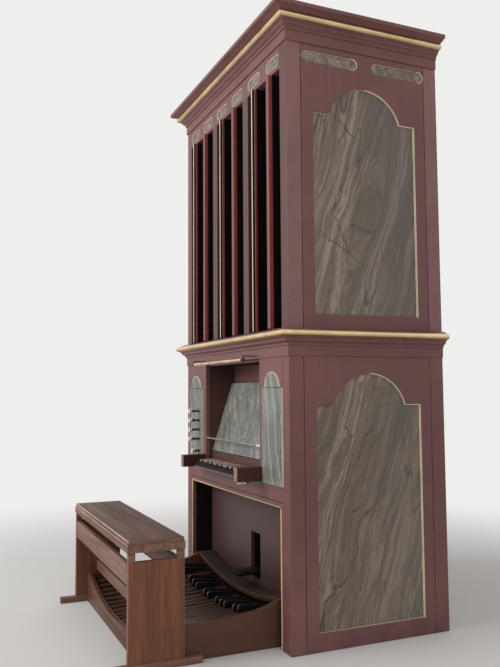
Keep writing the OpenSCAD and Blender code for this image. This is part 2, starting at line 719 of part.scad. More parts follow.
// A leaf standing open, its broad sides facing left and right
module shutter(n) color(mauve) place() {
    bay = bay_x[floor(n/2)];
    left = n%2 == 0;
    a = left ? leaf_w/2 - astragal_r : leaf_w/2;
    translate([bay + (left ? -1 : 1)*leaf_pitch, leaf_y, 0]) {
        block(-leaf_t/2, leaf_t/2, -a, leaf_w/2, leaf_z, leaf_z + leaf_h);
        if (left) translate([0, -a, leaf_z]) cylinder(h = leaf_h, r = astragal_r);
        translate([0, 0, deck_z - pin_len]) cylinder(h = leaf_gap + pin_len + 1, r = pin_r);
        translate([0, 0, leaf_z + leaf_h - 1]) cylinder(h = leaf_gap + pin_len + 1, r = pin_r);
    }
}
module shutter_1() shutter(0);
module shutter_2() shutter(1);
module shutter_3() shutter(2);
module shutter_4() shutter(3);
module shutter_5() shutter(4);
module shutter_6() shutter(5);

// Windchest, rack and the front row of pipes
module windchest() color(oak) place() difference() {
    block(-in_x + rack_side, in_x - rack_side, pipe_y - chest_front, case_d - post_d - chest_back,
        deck_z, chest_top);
    pipe_feet(0.3);
}
function pipe_t(i) = abs(2*i - pipes_n + 1)/(pipes_n - 1);
function pipe_x(i) = (i - (pipes_n - 1)/2)*pipe_pitch;
function pipe_rad(i) = pipe_r_min + (pipe_r - pipe_r_min)*pipe_t(i);
module pipe_feet(g) for (i = [0:pipes_n - 1])
    translate([pipe_x(i), pipe_y, chest_top - 6]) cylinder(h = 8, r = 6 + g);
module pipe_rack() color(oak) place() {
    difference() {
        block(-in_x + rack_side, in_x - rack_side, pipe_y - rack_w/2, pipe_y + rack_w/2, rack_z, rack_z + rack_t);
        for (i = [0:pipes_n - 1]) translate([pipe_x(i), pipe_y, rack_z - 1])
            cylinder(h = rack_t + 2, r = pipe_rad(i)*0.8 + 2);
    }
    both() block(in_x - rack_side - rack_leg_t, in_x - rack_side, pipe_y - rack_w/2, pipe_y + rack_w/2,
        chest_top, rack_z);
}
module pipes() color([0.7, 0.7, 0.66]) place() for (i = [0:pipes_n - 1])
    translate([pipe_x(i), pipe_y, chest_top - 6]) {
        r = pipe_rad(i);
        l = pipe_len_min + (pipe_len - pipe_len_min)*pow(pipe_t(i), 1.4);
        difference() {
            union() {
                cylinder(h = 8, r = 6);
                translate([0, 0, 7]) cylinder(h = foot_len, r1 = 6, r2 = r);
                translate([0, 0, 7 + foot_len]) cylinder(h = l, r = r);
            }
            translate([-0.7*r, -r - 1, foot_len + 12]) cube([1.4*r, 0.35*r, 0.42*r]);
            translate([0, 0, foot_len + 12]) cylinder(h = l, r = r - pipe_wall);
        }
    }

// Pedalboard, dished across its width
function dish_z(x) = sag*x*x;
module dished(z0, h, x1, n = 24) {
    polygon(concat([for (k = [-n:n]) [k*x1/n, z0 + h + dish_z(k*x1/n)]],
        [for (k = [n:-1:-n]) [k*x1/n, z0 + dish_z(k*x1/n)]]));
}
module pedal_cheeks() color(oak) place() both() along_x(pedal_in, pedal_w/2)
    polygon(concat([[-pedal_y, 0], [pedal_back, 0], [pedal_back, pedal_toe_h]],
        [for (k = [0:8]) [toe_y - k*pedal_sweep/8,
            pedal_cheek_h + (pedal_toe_h - pedal_cheek_h)*pow(1 - k/8, 2)]],
        [[-pedal_y, pedal_cheek_h]]));
module pedal_rails() color(oak) place() {
    along_y(toe_y, toe_y + toe_d) dished(toe_h - toe_t/2, toe_t, pedal_in);
    along_y(toe_y + toe_d, pedal_back) dished(toe_h + toe_t/2 - toe_board_t, toe_board_t, pedal_in);
    along_y(-pedal_y, -pedal_y + pedal_t) polygon(concat(
        [for (k = [-24:24]) [k*pedal_in/24, heel_h + heel_dish*k*k/576]],
        [[pedal_in, 0], [-pedal_in, 0]]));
}
// Stepped bearers under the heel and toe ends, with one flat seat for each bar
module comb_outline(z0) {
    n = pedals - 1;
    polygon(concat([[-pedal_in, 0], [-pedal_in, z0 + dish_z(n*pedal_pitch/2)]],
        [for (k = [-n:n], s = [-1, 1]) [k*pedal_pitch/2 + s*seat_w/2, z0 + dish_z(k*pedal_pitch/2)]],
        [[pedal_in, z0 + dish_z(n*pedal_pitch/2)], [pedal_in, 0]]));
}
module pedal_combs() color(dark) place() {
    along_y(-pedal_y + pedal_t, -pedal_y + pedal_t + comb_d) comb_outline(pedal_heel_z - pedal_nat_t - seat_gap);
    along_y(toe_y, toe_y + toe_d) comb_outline(pedal_toe_z - pedal_nat_t - toe_d*pedal_slope - seat_gap);
}
module pedal_bar(x, w) {
    y0 = -pedal_y + pedal_t + 0.3;
    y1 = toe_y + toe_d;
    translate([0, 0, dish_z(x)]) along_x(x - w/2, x + w/2)
        polygon([[y0, pedal_heel_z - pedal_nat_t], [y1, pedal_toe_z - pedal_nat_t], [y1, pedal_toe_z],
            [y0, pedal_heel_z]]);
}
function pedal_x(i) = (i - (pedals - 1)/2)*pedal_pitch;
module pedal_naturals() color(oak) place() for (i = [0:pedals - 1]) pedal_bar(pedal_x(i), pedal_nat_w);
module pedal_sharps() color(dark) place() for (i = [1:pedals - 1])
    if ((i - 3)%7 != 0 && i%7 != 0) {
        x = pedal_x(i) - pedal_pitch/2;
        y1 = toe_y - 6;
        y0 = y1 - pedal_sharp_len;
        z1 = pedal_toe_z - pedal_slope*(toe_y + toe_d - y1);
        z0 = z1 - pedal_slope*pedal_sharp_len;
        pedal_bar(x, pedal_sharp_w);
        translate([0, 0, dish_z(x)]) along_x(x - pedal_sharp_w/2, x + pedal_sharp_w/2)
            polygon([[y0, z0 - 2], [y1, z1 - 2], [y1, z1 + 14], [y0 + 14, z0 + pedal_sharp_h],
                [y0, z0 + pedal_sharp_h - 8]]);
    }

// Bench
module bench_ends() color(oak) place() translate([0, -bench_y, 0]) both() {
    block(bench_w/2 - bench_t, bench_w/2, -bench_d/2, bench_d/2, foot_h, bench_h);
    block(bench_w/2 - bench_t - 3, bench_w/2 + 6, -foot_w/2, foot_w/2, 0, foot_h);
}
module bench_rails() color(oak) place() translate([0, -bench_y, 0]) {
    l = bench_w/2 - bench_t;
    for (y = [-bench_d/2, bench_d/2 - bench_rail_t])
        block(-l, l, y, y + bench_rail_t, bench_h - bench_rail_h - 7, bench_h - 7);
    block(-l, l, -bench_rail_t/2, bench_rail_t/2, stretcher_z, stretcher_z + stretcher_h);
}
module bench_blocks() color(oak) place() translate([0, -bench_y, bench_h])
    both() for (s = [-1, 1]) block(bench_w/2 - bench_t, bench_w/2, s*(bench_d - block_d)/2 - block_d/2,
        s*(bench_d - block_d)/2 + block_d/2, 0, block_h);
module bench_seat() color(oak) place() translate([0, -bench_y, bench_h]) {
    block(-bench_w/2, bench_w/2, -seat_d/2, seat_d/2, block_h, block_h + seat_t);
    block(-bench_w/2 + seat_lip, bench_w/2 - seat_lip, -seat_d/2 + seat_lip, seat_d/2 - seat_lip,
        block_h + seat_t, block_h + seat_t + seat_top_t);
}

corner_posts();
lower_sides();
upper_sides();
side_panels();
panel_rims();
back_boards();
jambs();
jamb_panels();
knee_frame();
knee_bead();
knee_panel();
knee_walls();
slot_box();
niche_lining();
music_desk();
music_rail();
console_lamp();
lamp_arms();
key_bed();
key_cheeks();
cheek_switch();
nameboard();
natural_keys();
sharp_keys();
stop_knob_1();
stop_knob_2();
stop_knob_3();
stop_knob_4();
stop_knob_5();
stop_rosettes();
swell_pedal();
mid_cornice();
mid_bead();
deck();
front_stiles();
header();
pills();
pivot_rail();
shutter_1();
shutter_2();
shutter_3();
shutter_4();
shutter_5();
shutter_6();
windchest();
pipe_rack();
pipes();
top_cornice();
top_bead();
roof();
pedal_cheeks();
pedal_rails();
pedal_combs();
pedal_naturals();
pedal_sharps();
bench_ends();
bench_rails();
bench_blocks();
bench_seat();
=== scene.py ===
"""Pipe organ with pedalboard and bench: painted, gilded and wooden finishes, keys, knobs and studio."""
import json
import math

import bmesh
import bpy
from bpy.props import FloatProperty, FloatVectorProperty, IntProperty, PointerProperty
from bpy.types import Operator, Panel, PropertyGroup
from mathutils import Matrix, Vector


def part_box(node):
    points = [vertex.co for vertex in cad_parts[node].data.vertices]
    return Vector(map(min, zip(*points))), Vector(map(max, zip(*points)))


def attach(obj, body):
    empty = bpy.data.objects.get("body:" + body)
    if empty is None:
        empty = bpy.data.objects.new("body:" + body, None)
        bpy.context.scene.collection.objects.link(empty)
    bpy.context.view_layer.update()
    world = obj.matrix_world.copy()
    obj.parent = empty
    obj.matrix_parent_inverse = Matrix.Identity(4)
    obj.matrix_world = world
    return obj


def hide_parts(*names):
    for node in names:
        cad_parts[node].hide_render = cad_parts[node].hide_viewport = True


bl_info = {
    "name": "Pipe organ finishes",
    "version": (1, 0, 0),
    "blender": (4, 5, 0),
    "location": "3D View > Sidebar > Organ",
    "description": "Paint, gilding, wood, keys, stop knobs and studio for a small pipe organ",
    "category": "Object",
}

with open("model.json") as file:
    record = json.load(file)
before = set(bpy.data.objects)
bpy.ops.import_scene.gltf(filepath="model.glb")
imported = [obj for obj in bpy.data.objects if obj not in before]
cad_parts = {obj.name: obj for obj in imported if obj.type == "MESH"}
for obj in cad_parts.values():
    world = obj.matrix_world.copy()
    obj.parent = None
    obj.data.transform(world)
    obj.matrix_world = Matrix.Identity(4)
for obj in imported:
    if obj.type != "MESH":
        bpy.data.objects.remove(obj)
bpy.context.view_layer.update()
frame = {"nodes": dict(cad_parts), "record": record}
NODES = frame["nodes"]
FRONT_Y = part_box("corner_posts")[0].y


def srgb(red, green, blue):
    """Linear colour of a screen colour in 0 to 255."""
    return tuple((c/255/12.92) if c <= 10 else ((c/255 + 0.055)/1.055)**2.4 for c in (red, green, blue))


def shade(colour, share=1.0):
    """Colour made darker or lighter, with alpha."""
    return tuple(min(1.0, c*share) for c in colour[:3]) + (1.0,)


# Settings

def tint(label, text, default):
    return FloatVectorProperty(name=label, description=text, subtype="COLOR", size=3, min=0, max=1, default=default)


def length(label, text, default):
    return FloatProperty(name=label, description=text, unit="LENGTH", subtype="DISTANCE", min=0, default=default)


class OrganPaint(PropertyGroup):
    """Colours of paint, marbling and gilding"""
    case: tint("Case paint", "Dull mauve paint of the case", srgb(124, 84, 83))
    slip: tint("Key slip", "Greyer paint of the slip under the keys", srgb(126, 101, 97))
    # The lighter paint on the upper corner posts' outer sides is painted light.
    post: tint("Upper posts", "Rubbed lighter paint on the sides of the upper corner posts", srgb(142, 103, 103))
    # The browner, darker paint on the stiles and on the right upper posts' fronts is painted shade.
    stile: tint("Inner stiles", "Browner paint of the stiles between the openings", srgb(98, 68, 64))
    # The darker paint of the recessed knee panel is painted shade.
    knee: tint("Knee panel", "Darker paint of the panel in the knee hole", srgb(92, 68, 66))
    board: tint("Name board", "Brown paint of the board under the desk", srgb(92, 62, 55))
    # The dark brown of the niche's side walls is painted shade.
    niche: tint("Niche walls", "Dark brown paint of the niche's side walls", srgb(82, 52, 48))
    # The near-black inside finish on faces inside the case and in its recesses is painted shade.
    inside: tint("Inside stain", "Dark stain of the inside faces", srgb(34, 26, 25))
    leaf_red: tint("Leaf edge", "Red paint along the front edges of the shutters", srgb(152, 66, 64))
    # Near-black on the shutters' inner sides past the red strip and on their beads' sides is painted shade; it also
    # darkens grooves and keyholes.
    leaf_dark: tint("Leaf side", "Near-black paint of the shutters' inner sides", srgb(20, 14, 18))
    marble_light: tint("Side ground", "Light ground of the sides' marbling", srgb(176, 156, 136))
    marble_mid: tint("Side bands", "Olive bands of the sides' marbling", srgb(122, 107, 94))
    marble_cool: tint("Side clouds", "Cool grey clouds of the sides' marbling", srgb(108, 104, 102))
    marble_dark: tint("Side veins", "Thin dark veins of the sides' marbling", srgb(54, 46, 44))
    desk_light: tint("Front ground", "Light ground of the front's marbling", srgb(174, 175, 162))
    desk_mid: tint("Front bands", "Grey-green bands of the front's marbling", srgb(120, 124, 118))
    desk_dark: tint("Front veins", "Dark veins of the front's marbling", srgb(56, 60, 60))
    gold: tint("Gold leaf", "Colour of the gilding", srgb(240, 214, 166))
    # The brown-toned gold on the beads' under sides and on the knee bead's faces that look neither up nor right is
    # painted shade; the same colour is the worn ground under the pale gold.
    gold_low: tint("Toned gold", "Brown-toned gold on the under side of the beads", srgb(196, 156, 104))
    # The near-white pale gold is real gilding brightened into a painted highlight.
    gold_edge: tint("Pale gold", "Pale gold on the panels' edges", srgb(255, 242, 214))
    bole: tint("Bole", "Red ground that shows where the gold is worn", srgb(120, 66, 40))
    wear: FloatProperty(name="Wear", description="Share of worn paint on edges", subtype="FACTOR", min=0, max=1,
                        default=0.35)


class OrganWood(PropertyGroup):
    """Colours of oak, stained wood, keys and metal"""
    oak: tint("Oak", "Light oak of the bench", srgb(144, 108, 94))
    end_oak: tint("Bench end oak", "Warmer oak of the bench ends", srgb(136, 88, 64))
    oak_dark: tint("Oak grain", "Dark grain of the oak", srgb(80, 52, 42))
    seat_oak: tint("Seat oak", "Darker oak of the bench seat", srgb(106, 68, 56))
    # The pale wood along the seat's front top edge is a painted highlight, the light line on that edge.
    worn: tint("Worn edge", "Pale rubbed wood on the front edge of the seat", srgb(206, 180, 160))
    # The darker, browner oak of the pedalboard is painted shade, the shade under the bench and the console.
    pedal_oak: tint("Pedalboard oak", "Browner oak of the pedalboard", srgb(100, 70, 54))
    toe_board: tint("Toe board", "Dusty board behind the toe rail", srgb(70, 57, 53))
    stain: tint("Dark stain", "Dark stained wood", srgb(40, 27, 25))
    shoe_black: tint("Swell pedal", "Near-black paint of the swell pedal", srgb(20, 17, 19))
    cheek_brown: tint("Cheek brown", "Red-brown wood of the key cheeks", srgb(82, 46, 42))
    cheek_front: tint("Cheek front", "Pale wood on the front ends of the key cheeks", srgb(160, 138, 118))
    rail_grey: tint("Desk rail", "Pale silvery lacquer of the desk rail", srgb(172, 158, 154))
    black: tint("Black wood", "Black wood of keys and knobs", srgb(26, 22, 22))
    key_black: tint("Naturals", "Worn matt black of the natural keys", srgb(20, 14, 15))
    bone: tint("Bone", "Aged bone of the sharps and knob rings", srgb(244, 238, 226))
    sharp_bone: tint("Sharps", "Worn pinkish bone on the sharps", srgb(224, 202, 192))
    # The pale wood on the front ends of the sharp pedals is a painted highlight, the glints on those ends.
    tip: tint("Pedal tips", "Worn wood on the ends of the sharp pedals", srgb(176, 146, 108))
    tin: tint("Tin", "Tin of the pipes", srgb(150, 148, 140))
    brass: tint("Brass", "Pale brass of the lamp tube", srgb(232, 200, 156))
    lamp_end: tint("Lamp ends", "Browned brass of the lamp's end pieces", srgb(96, 74, 56))
    iron: tint("Black metal", "Black lacquered metal", srgb(24, 22, 22))


class OrganSizes(PropertyGroup):
    """Sizes of small forms"""
    case_edge: length("Case edges", "Rounding of the painted boards' edges", 0.002)
    bench_edge: length("Bench edges", "Rounding of the bench's edges", 0.0035)
    key_gap: length("Key gap", "Gap between neighbouring keys", 0.001)
    key_count: IntProperty(name="Natural keys", description="Number of natural keys", min=1, default=36)
    pedal_count: IntProperty(name="Natural pedals", description="Number of natural pedals", min=1, default=18)
    pedal_heel: length("Pedal heel height", "Top of a natural pedal at its heel end", 0.076)
    pedal_toe: length("Pedal toe height", "Top of a natural pedal at its toe end", 0.114)
    pedal_thick: length("Pedal thickness", "Thickness of a natural pedal", 0.026)
    pedal_width: length("Pedal width", "Width of a natural pedal", 0.024)
    # Past this strip the shutter's inner side is near-black, painted shade.
    leaf_strip: length("Leaf strip", "Width of the red strip on a shutter's inner side", 0.022)
    arch_foot: length("Arch foot", "Height of the foot of the jambs' arches", 1.316)
    pill: length("Side pill", "Length of a side's pill panel", 0.347)


class OrganStage(PropertyGroup):
    """Floor, lamps and background"""
    floor: tint("Floor", "Colour of the floor", (0.86, 0.85, 0.835))
    background: tint("Background", "Colour that the camera sees behind the object", (0.86, 0.855, 0.85))
    key_power: FloatProperty(name="Key lamp", description="Power of the front lamp", unit="POWER", default=340)
    fill_power: FloatProperty(name="Fill lamp", description="Power of the side lamp", unit="POWER", default=75)
    sky: FloatProperty(name="Room light", description="Strength of the even light", default=0.42)


# Finishes

class Steps:
    """Node steps in one tree."""

    def __init__(self, tree):
        self.tree = tree

    def plug(self, socket, value):
        if isinstance(value, bpy.types.NodeSocket):
            self.tree.links.new(value, socket)
        else:
            socket.default_value = value

    def node(self, kind, plugs, **settings):
        made = self.tree.nodes.new(kind if "Node" in kind else "ShaderNode" + kind)
        for key, value in settings.items():
            setattr(made, key, value)
        for key, value in plugs.items():
            self.plug(made.inputs[key], value)
        return made

    def maths(self, job, a, b=0.0):
        return self.node("Math", {0: a, 1: b}, operation=job).outputs[0]

    def times(self, a, b):
        return self.maths("MULTIPLY", a, b)

    def less(self, a, b):
        return self.maths("SUBTRACT", a, b)


class Finish(Steps):
    """One material, built from named steps."""

    def __init__(self, name, roughness=0.5, metallic=0.0, shine=0.5, coat=0.0):
        self.material = bpy.data.materials.new(name)
        self.material.use_nodes = True
        super().__init__(self.material.node_tree)
        self.tree.nodes.clear()
        self.surface = self.node("BsdfPrincipled", {"Roughness": roughness, "Metallic": metallic,
                                                    "Specular IOR Level": shine, "Coat Weight": coat})
        self.out = self.node("OutputMaterial", {0: self.surface.outputs[0]})
        self.place = self.node("TexCoord", {}).outputs["Object"]

    def mapped(self, scale=(1, 1, 1), turn=(0, 0, 0), at=None):
        return self.node("Mapping", {"Vector": at or self.place, "Scale": scale,
                                     "Rotation": [math.radians(a) for a in turn]}).outputs[0]

    def noise(self, at, scale, detail=4, rough=0.55, bend=0.0):
        return self.node("TexNoise", {"Vector": at, "Scale": scale, "Detail": detail, "Roughness": rough,
                                      "Distortion": bend}).outputs[0]

    def vector(self, job, a, plugs):
        return self.node("VectorMath", {0: a, **plugs}, operation=job)

    def stirred(self, at, scale, detail, rough, reach, middle=0.5):
        """The place, moved by a noise that is measured from its middle."""
        push = self.node("TexNoise", {"Vector": at, "Scale": scale, "Detail": detail, "Roughness": rough}).outputs[1]
        push = self.vector("SUBTRACT", push, {1: (middle, middle, middle)}).outputs[0]
        push = self.vector("SCALE", push, {3: reach}).outputs[0]
        return self.vector("ADD", at, {1: push}).outputs[0]

    def parts(self, at):
        return self.node("SeparateXYZ", {0: at}).outputs

    def span(self, value, low, high, to_low=0.0, to_high=1.0):
        return self.node("MapRange", {0: value, 1: low, 2: high, 3: to_low, 4: to_high},
                         interpolation_type="SMOOTHSTEP").outputs[0]

    def mix(self, share, a, b):
        return self.node("Mix", {0: share, 6: a, 7: b}, data_type="RGBA").outputs[2]

    def tag(self, name):
        return self.node("Attribute", {}, attribute_name=name).outputs["Fac"]

    def ridge(self, value, width):
        """1 on the thin lines where the value crosses its middle, 0 elsewhere."""
        return self.span(self.maths("ABSOLUTE", self.less(value, 0.5)), 0.0, width, 1.0, 0.0)

    def rings(self, value, count, width):
        """Contour lines of a value."""
        return self.ridge(self.maths("FRACT", self.times(value, count)), width)

    def colour(self, tone):
        self.tone = tone
        self.plug(self.surface.inputs["Base Color"], tone)

    def cloudy(self, value, low, high, colour, darker, lighter):
        """A ground that turns from darker to lighter with a cloudy value."""
        self.colour(self.mix(self.span(value, low, high), shade(colour, darker), shade(colour, lighter)))

    def lay(self, share, amount, new):
        """Some of a new colour over the tone so far, where the share is high."""
        self.colour(self.mix(self.times(share, amount), self.tone, new))

    def rough(self, value, low, high):
        """Roughness that follows a cloudy value."""
        self.plug(self.surface.inputs["Roughness"], self.span(value, 0.3, 0.7, low, high))

    def bump(self, height, depth, under=None):
        plugs = {"Strength": 1.0, "Distance": depth, "Height": height}
        if under is not None:
            plugs["Normal"] = under
        made = self.node("Bump", plugs).outputs[0]
        self.plug(self.surface.inputs["Normal"], made)
        return made


DIRT_TOP = 0.22  # height up to which the paint is dirty, in metres


def painted(name, colour, upright=True, wear=None, gloss=0.46, shine=0.35):
    """Satin paint with brush marks along the board, cloudy tone, scuffs, dirt near the floor and rubbed edges."""
    wear = bpy.context.scene.organ_paint.wear if wear is None else wear
    f = Finish(name, gloss, shine=shine)
    cloud = f.noise(f.place, 1.9, 5, 0.6)
    stroke = f.noise(f.mapped((85, 85, 2.2) if upright else (2.2, 2.2, 85)), 1, 4, 0.6)
    blot = f.noise(f.place, 9, 6, 0.7)
    chip = f.noise(f.place, 70, 3, 0.6)
    low = f.times(f.span(f.parts(f.place)[2], 0.0, DIRT_TOP, 1.0, 0.0), f.span(blot, 0.35, 0.6))
    rubbed = f.times(f.tag("edge"), f.span(f.noise(f.place, 16, 4), 0.38, 0.62, 0.1, 1.0))
    f.cloudy(cloud, 0.32, 0.68, colour, 0.84, 1.13)
    for where, amount, share in ((f.span(stroke, 0.4, 0.66), 0.3, 0.78), (f.span(blot, 0.56, 0.74), 0.35, 1.28),
                                 (f.span(chip, 0.66, 0.72), 0.5, 0.62), (low, 0.45, 0.5), (rubbed, wear, 1.9)):
        f.lay(where, amount, shade(colour, share))
    f.rough(cloud, gloss - 0.07, gloss + 0.09)
    f.bump(chip, 0.0003, f.bump(stroke, 0.0005))
    return f.material


# The oval figure in the side panels' marbling, in the turned pattern: its middle, half width and half height
EYE_AT, EYE_SIZE = (-0.240, 2.270), (0.072, 0.31)
# Ends of the long cracks in the side panels, as depth and height
SPLITS = (((0.213, 2.276), (0.342, 2.009)), ((0.150, 2.130), (0.420, 1.960)), ((0.260, 2.740), (0.400, 2.640)))


def round_eye(f, flow):
    """The flow led round the oval figure, and the share of its dark outline."""
    parts = f.parts(flow)
    u, v = (f.maths("DIVIDE", f.less(parts[k + 1], EYE_AT[k]), EYE_SIZE[k]) for k in (0, 1))
    square = f.maths("ADD", f.times(u, u), f.times(v, v))
    outside = f.less(1.0, f.maths("DIVIDE", 1.0, f.maths("MAXIMUM", square, 1.0)))
    inside = f.less(1.0, f.maths("SQRT", f.maths("MINIMUM", square, 1.0)))
    bent = f.maths("ADD", f.times(u, outside), f.times(inside, 0.22))
    across = f.maths("ADD", f.times(bent, EYE_SIZE[0]), EYE_AT[0])
    rim = f.maths("ADD", f.maths("SQRT", square), -0.5)
    return (f.node("CombineXYZ", {0: parts[0], 1: across, 2: parts[2]}).outputs[0],
            f.times(f.ridge(rim, 0.035), f.span(u, -0.9, 0.8, 1.0, 0.15)))


def split(f, at, start, end):
    """Share of a thin crack between two points of the side panels."""
    way = Vector((0, end[0] - start[0], end[1] - start[1]))
    from_start = f.vector("SUBTRACT", at, {1: (0, *start)}).outputs[0]
    along, off = (f.vector("DOT_PRODUCT", from_start, {1: line}).outputs["Value"]
                  for line in (way/way.length_squared, Vector((0, way.z, -way.y)).normalized()))
    ends = f.maths("ABSOLUTE", f.less(along, 0.5))
    line = f.span(f.maths("ABSOLUTE", off), 0.001, 0.0042, 1.0, 0.0)
    return f.times(line, f.span(ends, 0.40, 0.52, 1.0, 0.0))


def marbled(name, light, mid, dark, cool, turn, fine, warp, lines, cracks, eye=False):
    """Marbling whose bands and streaks flow along Z after the turn and around an eye, with a few jagged cracks."""
    f = Finish(name, 0.42, coat=0.08)
    light, mid, dark, cool = (shade(c) for c in (light, mid, dark, cool))
    level = f.mapped(turn=turn)
    flow = f.stirred(level, 1.7*fine, 2.0, 0.5, warp/fine)
    if eye:
        flow, rim = round_eye(f, flow)

    def streak(across, along, detail, bend=0.2):
        return f.noise(f.mapped((across*fine, across*fine, along*fine), at=flow), 1.0, detail, 0.6, bend)

    band = streak(4.2, 0.7, 6)
    f.cloudy(f.noise(level, 2.4, 3), 0.35, 0.65, light, 1.0, 0.82)
    f.lay(f.span(f.noise(level, 1.3, 2), 0.44, 0.60), 0.5, cool)
    f.colour(f.mix(f.span(band, 0.42, 0.60, 0.12, 1.0), f.tone, mid))
    for across, along, detail, low, high, amount, colour, share in (
            (9, 0.5, 8, 0.50, 0.59, 0.5, mid, 0.68), (17, 0.6, 7, 0.52, 0.58, 0.5, light, 1.12),
            (34, 0.8, 6, 0.51, 0.56, 0.55, mid, 0.58), (75, 1.3, 4, 0.52, 0.57, 0.5, mid, 0.5)):
        f.lay(f.span(streak(across, along, detail), low, high), amount, shade(colour, share))
    lens = f.times(f.rings(streak(3.0, 0.6, 2), 8.0, 0.05), f.span(f.noise(level, 3.1, 3), 0.42, 0.60))
    hair = f.times(f.rings(streak(5.0, 0.5, 2), 13.0, 0.07), f.span(band, 0.38, 0.62, 0.15, 0.8))
    f.lay(lens, lines, dark)
    f.lay(hair, lines, shade(mid, 0.4))
    f.lay(f.ridge(streak(2.4, 0.3, 2, 0.1), 0.005), 0.7, dark)
    if eye:
        f.lay(rim, 0.75, dark)
        # Darker towards the back of the side panels: partly painted shade, partly the marbling's own tone.
        f.lay(f.span(f.parts(f.place)[1], 0.25, 0.75), 0.5, shade(cool, 0.72))
    jag = f.stirred(level, 12.0, 6.0, 0.75, 0.10, 0.0)
    crack = f.noise(f.mapped((3.2, 3.2, 0.5), turn=(-52, -52, 0), at=jag), 1.0, 1, 0.4)
    shares = [f.times(f.ridge(crack, 0.004), f.span(f.noise(level, 2.7, 2), 0.56, 0.60))]
    if eye:
        jagged = f.stirred(f.place, 14.0, 7.0, 0.75, 0.09)
        shares += [split(f, jagged, *ends) for ends in SPLITS]
    for share in shares:
        f.lay(share, cracks, shade(dark, 0.7))
    grain = f.noise(f.mapped((170, 170, 12), at=flow), 1.0, 3)
    f.lay(f.span(grain, 0.4, 0.7), 0.3, shade(mid, 0.7))
    f.rough(band, 0.36, 0.50)
    f.bump(grain, 0.0002)
    return f.material


def gilded(name, colour, bole, metallic=1.0):
    """Gold leaf with soft overlaps, worn to the red ground in places."""
    f = Finish(name, 0.36, metallic)
    broad = f.noise(f.place, 6, 4, 0.6)
    worn = f.span(f.noise(f.place, 42, 5, 0.7), 0.62, 0.72)
    f.cloudy(broad, 0.35, 0.65, colour, 0.82, 1.0)
    f.lay(worn, 0.6, shade(bole))
    f.plug(f.surface.inputs["Metallic"], f.less(metallic, f.times(worn, metallic*0.6)))
    f.rough(broad, 0.30, 0.46)
    f.bump(f.noise(f.place, 130, 3), 0.00015)
    return f.material


def wooden(name, light, dark, along="x", gloss=0.5, pores=0.6, shine=0.25):
    """Wood with its grain along one axis. Its dark colour can be given as a share of the light one."""
    f = Finish(name, gloss, shine=shine)
    dark = shade(light, dark) if isinstance(dark, float) else shade(dark)
    fine, broad = ([short if axis == along else wide for axis in "xyz"]
                   for short, wide in ((5.0, 150.0), (0.9, 17.0)))
    figure = f.noise(f.mapped(broad), 1.0, 5, 0.6, 0.9)
    ring = f.ridge(f.noise(f.mapped([v*0.8 for v in broad]), 1.0, 2, 0.5, 0.6), 0.02)
    pore = f.noise(f.mapped(fine), 1.0, 3, 0.6)
    stain = f.span(f.noise(f.place, 3.5, 5, 0.65), 0.52, 0.72)
    rubbed = f.times(f.tag("edge"), f.span(f.noise(f.place, 14, 4), 0.4, 0.6))
    f.colour(f.mix(f.span(figure, 0.34, 0.66), shade(light), f.mix(0.55, shade(light), dark)))
    for where, amount, new in ((ring, 0.35, dark), (f.span(pore, 0.52, 0.68), pores, dark),
                               (stain, 0.4, shade(light, 0.6)), (f.tag("tone"), 0.4, shade(light, 0.62)),
                               (rubbed, 0.3, shade(light, 1.35))):
        f.lay(where, amount, new)
    f.rough(figure, gloss - 0.08, gloss + 0.08)
    f.bump(pore, 0.0003)
    return f.material


def polished(name, colour, gloss, metallic=0.0, spots=0.35, fine=60, shine=0.5):
    """Smooth hard surface with a cloudy tone, faint scratches and finger marks."""
    f = Finish(name, gloss, metallic, shine)
    cloud = f.noise(f.place, fine*0.25, 4, 0.6)
    mark = f.noise(f.place, fine, 5, 0.7)
    f.cloudy(cloud, 0.35, 0.65, colour, 0.80, 1.12)
    f.lay(f.span(mark, 0.56, 0.72), spots, shade(colour, 0.55))
    f.lay(f.tag("tone"), 0.25, shade(colour, 0.7))
    f.rough(cloud, gloss - 0.06, gloss + 0.10)
    f.bump(mark, 0.0002)
    return f.material


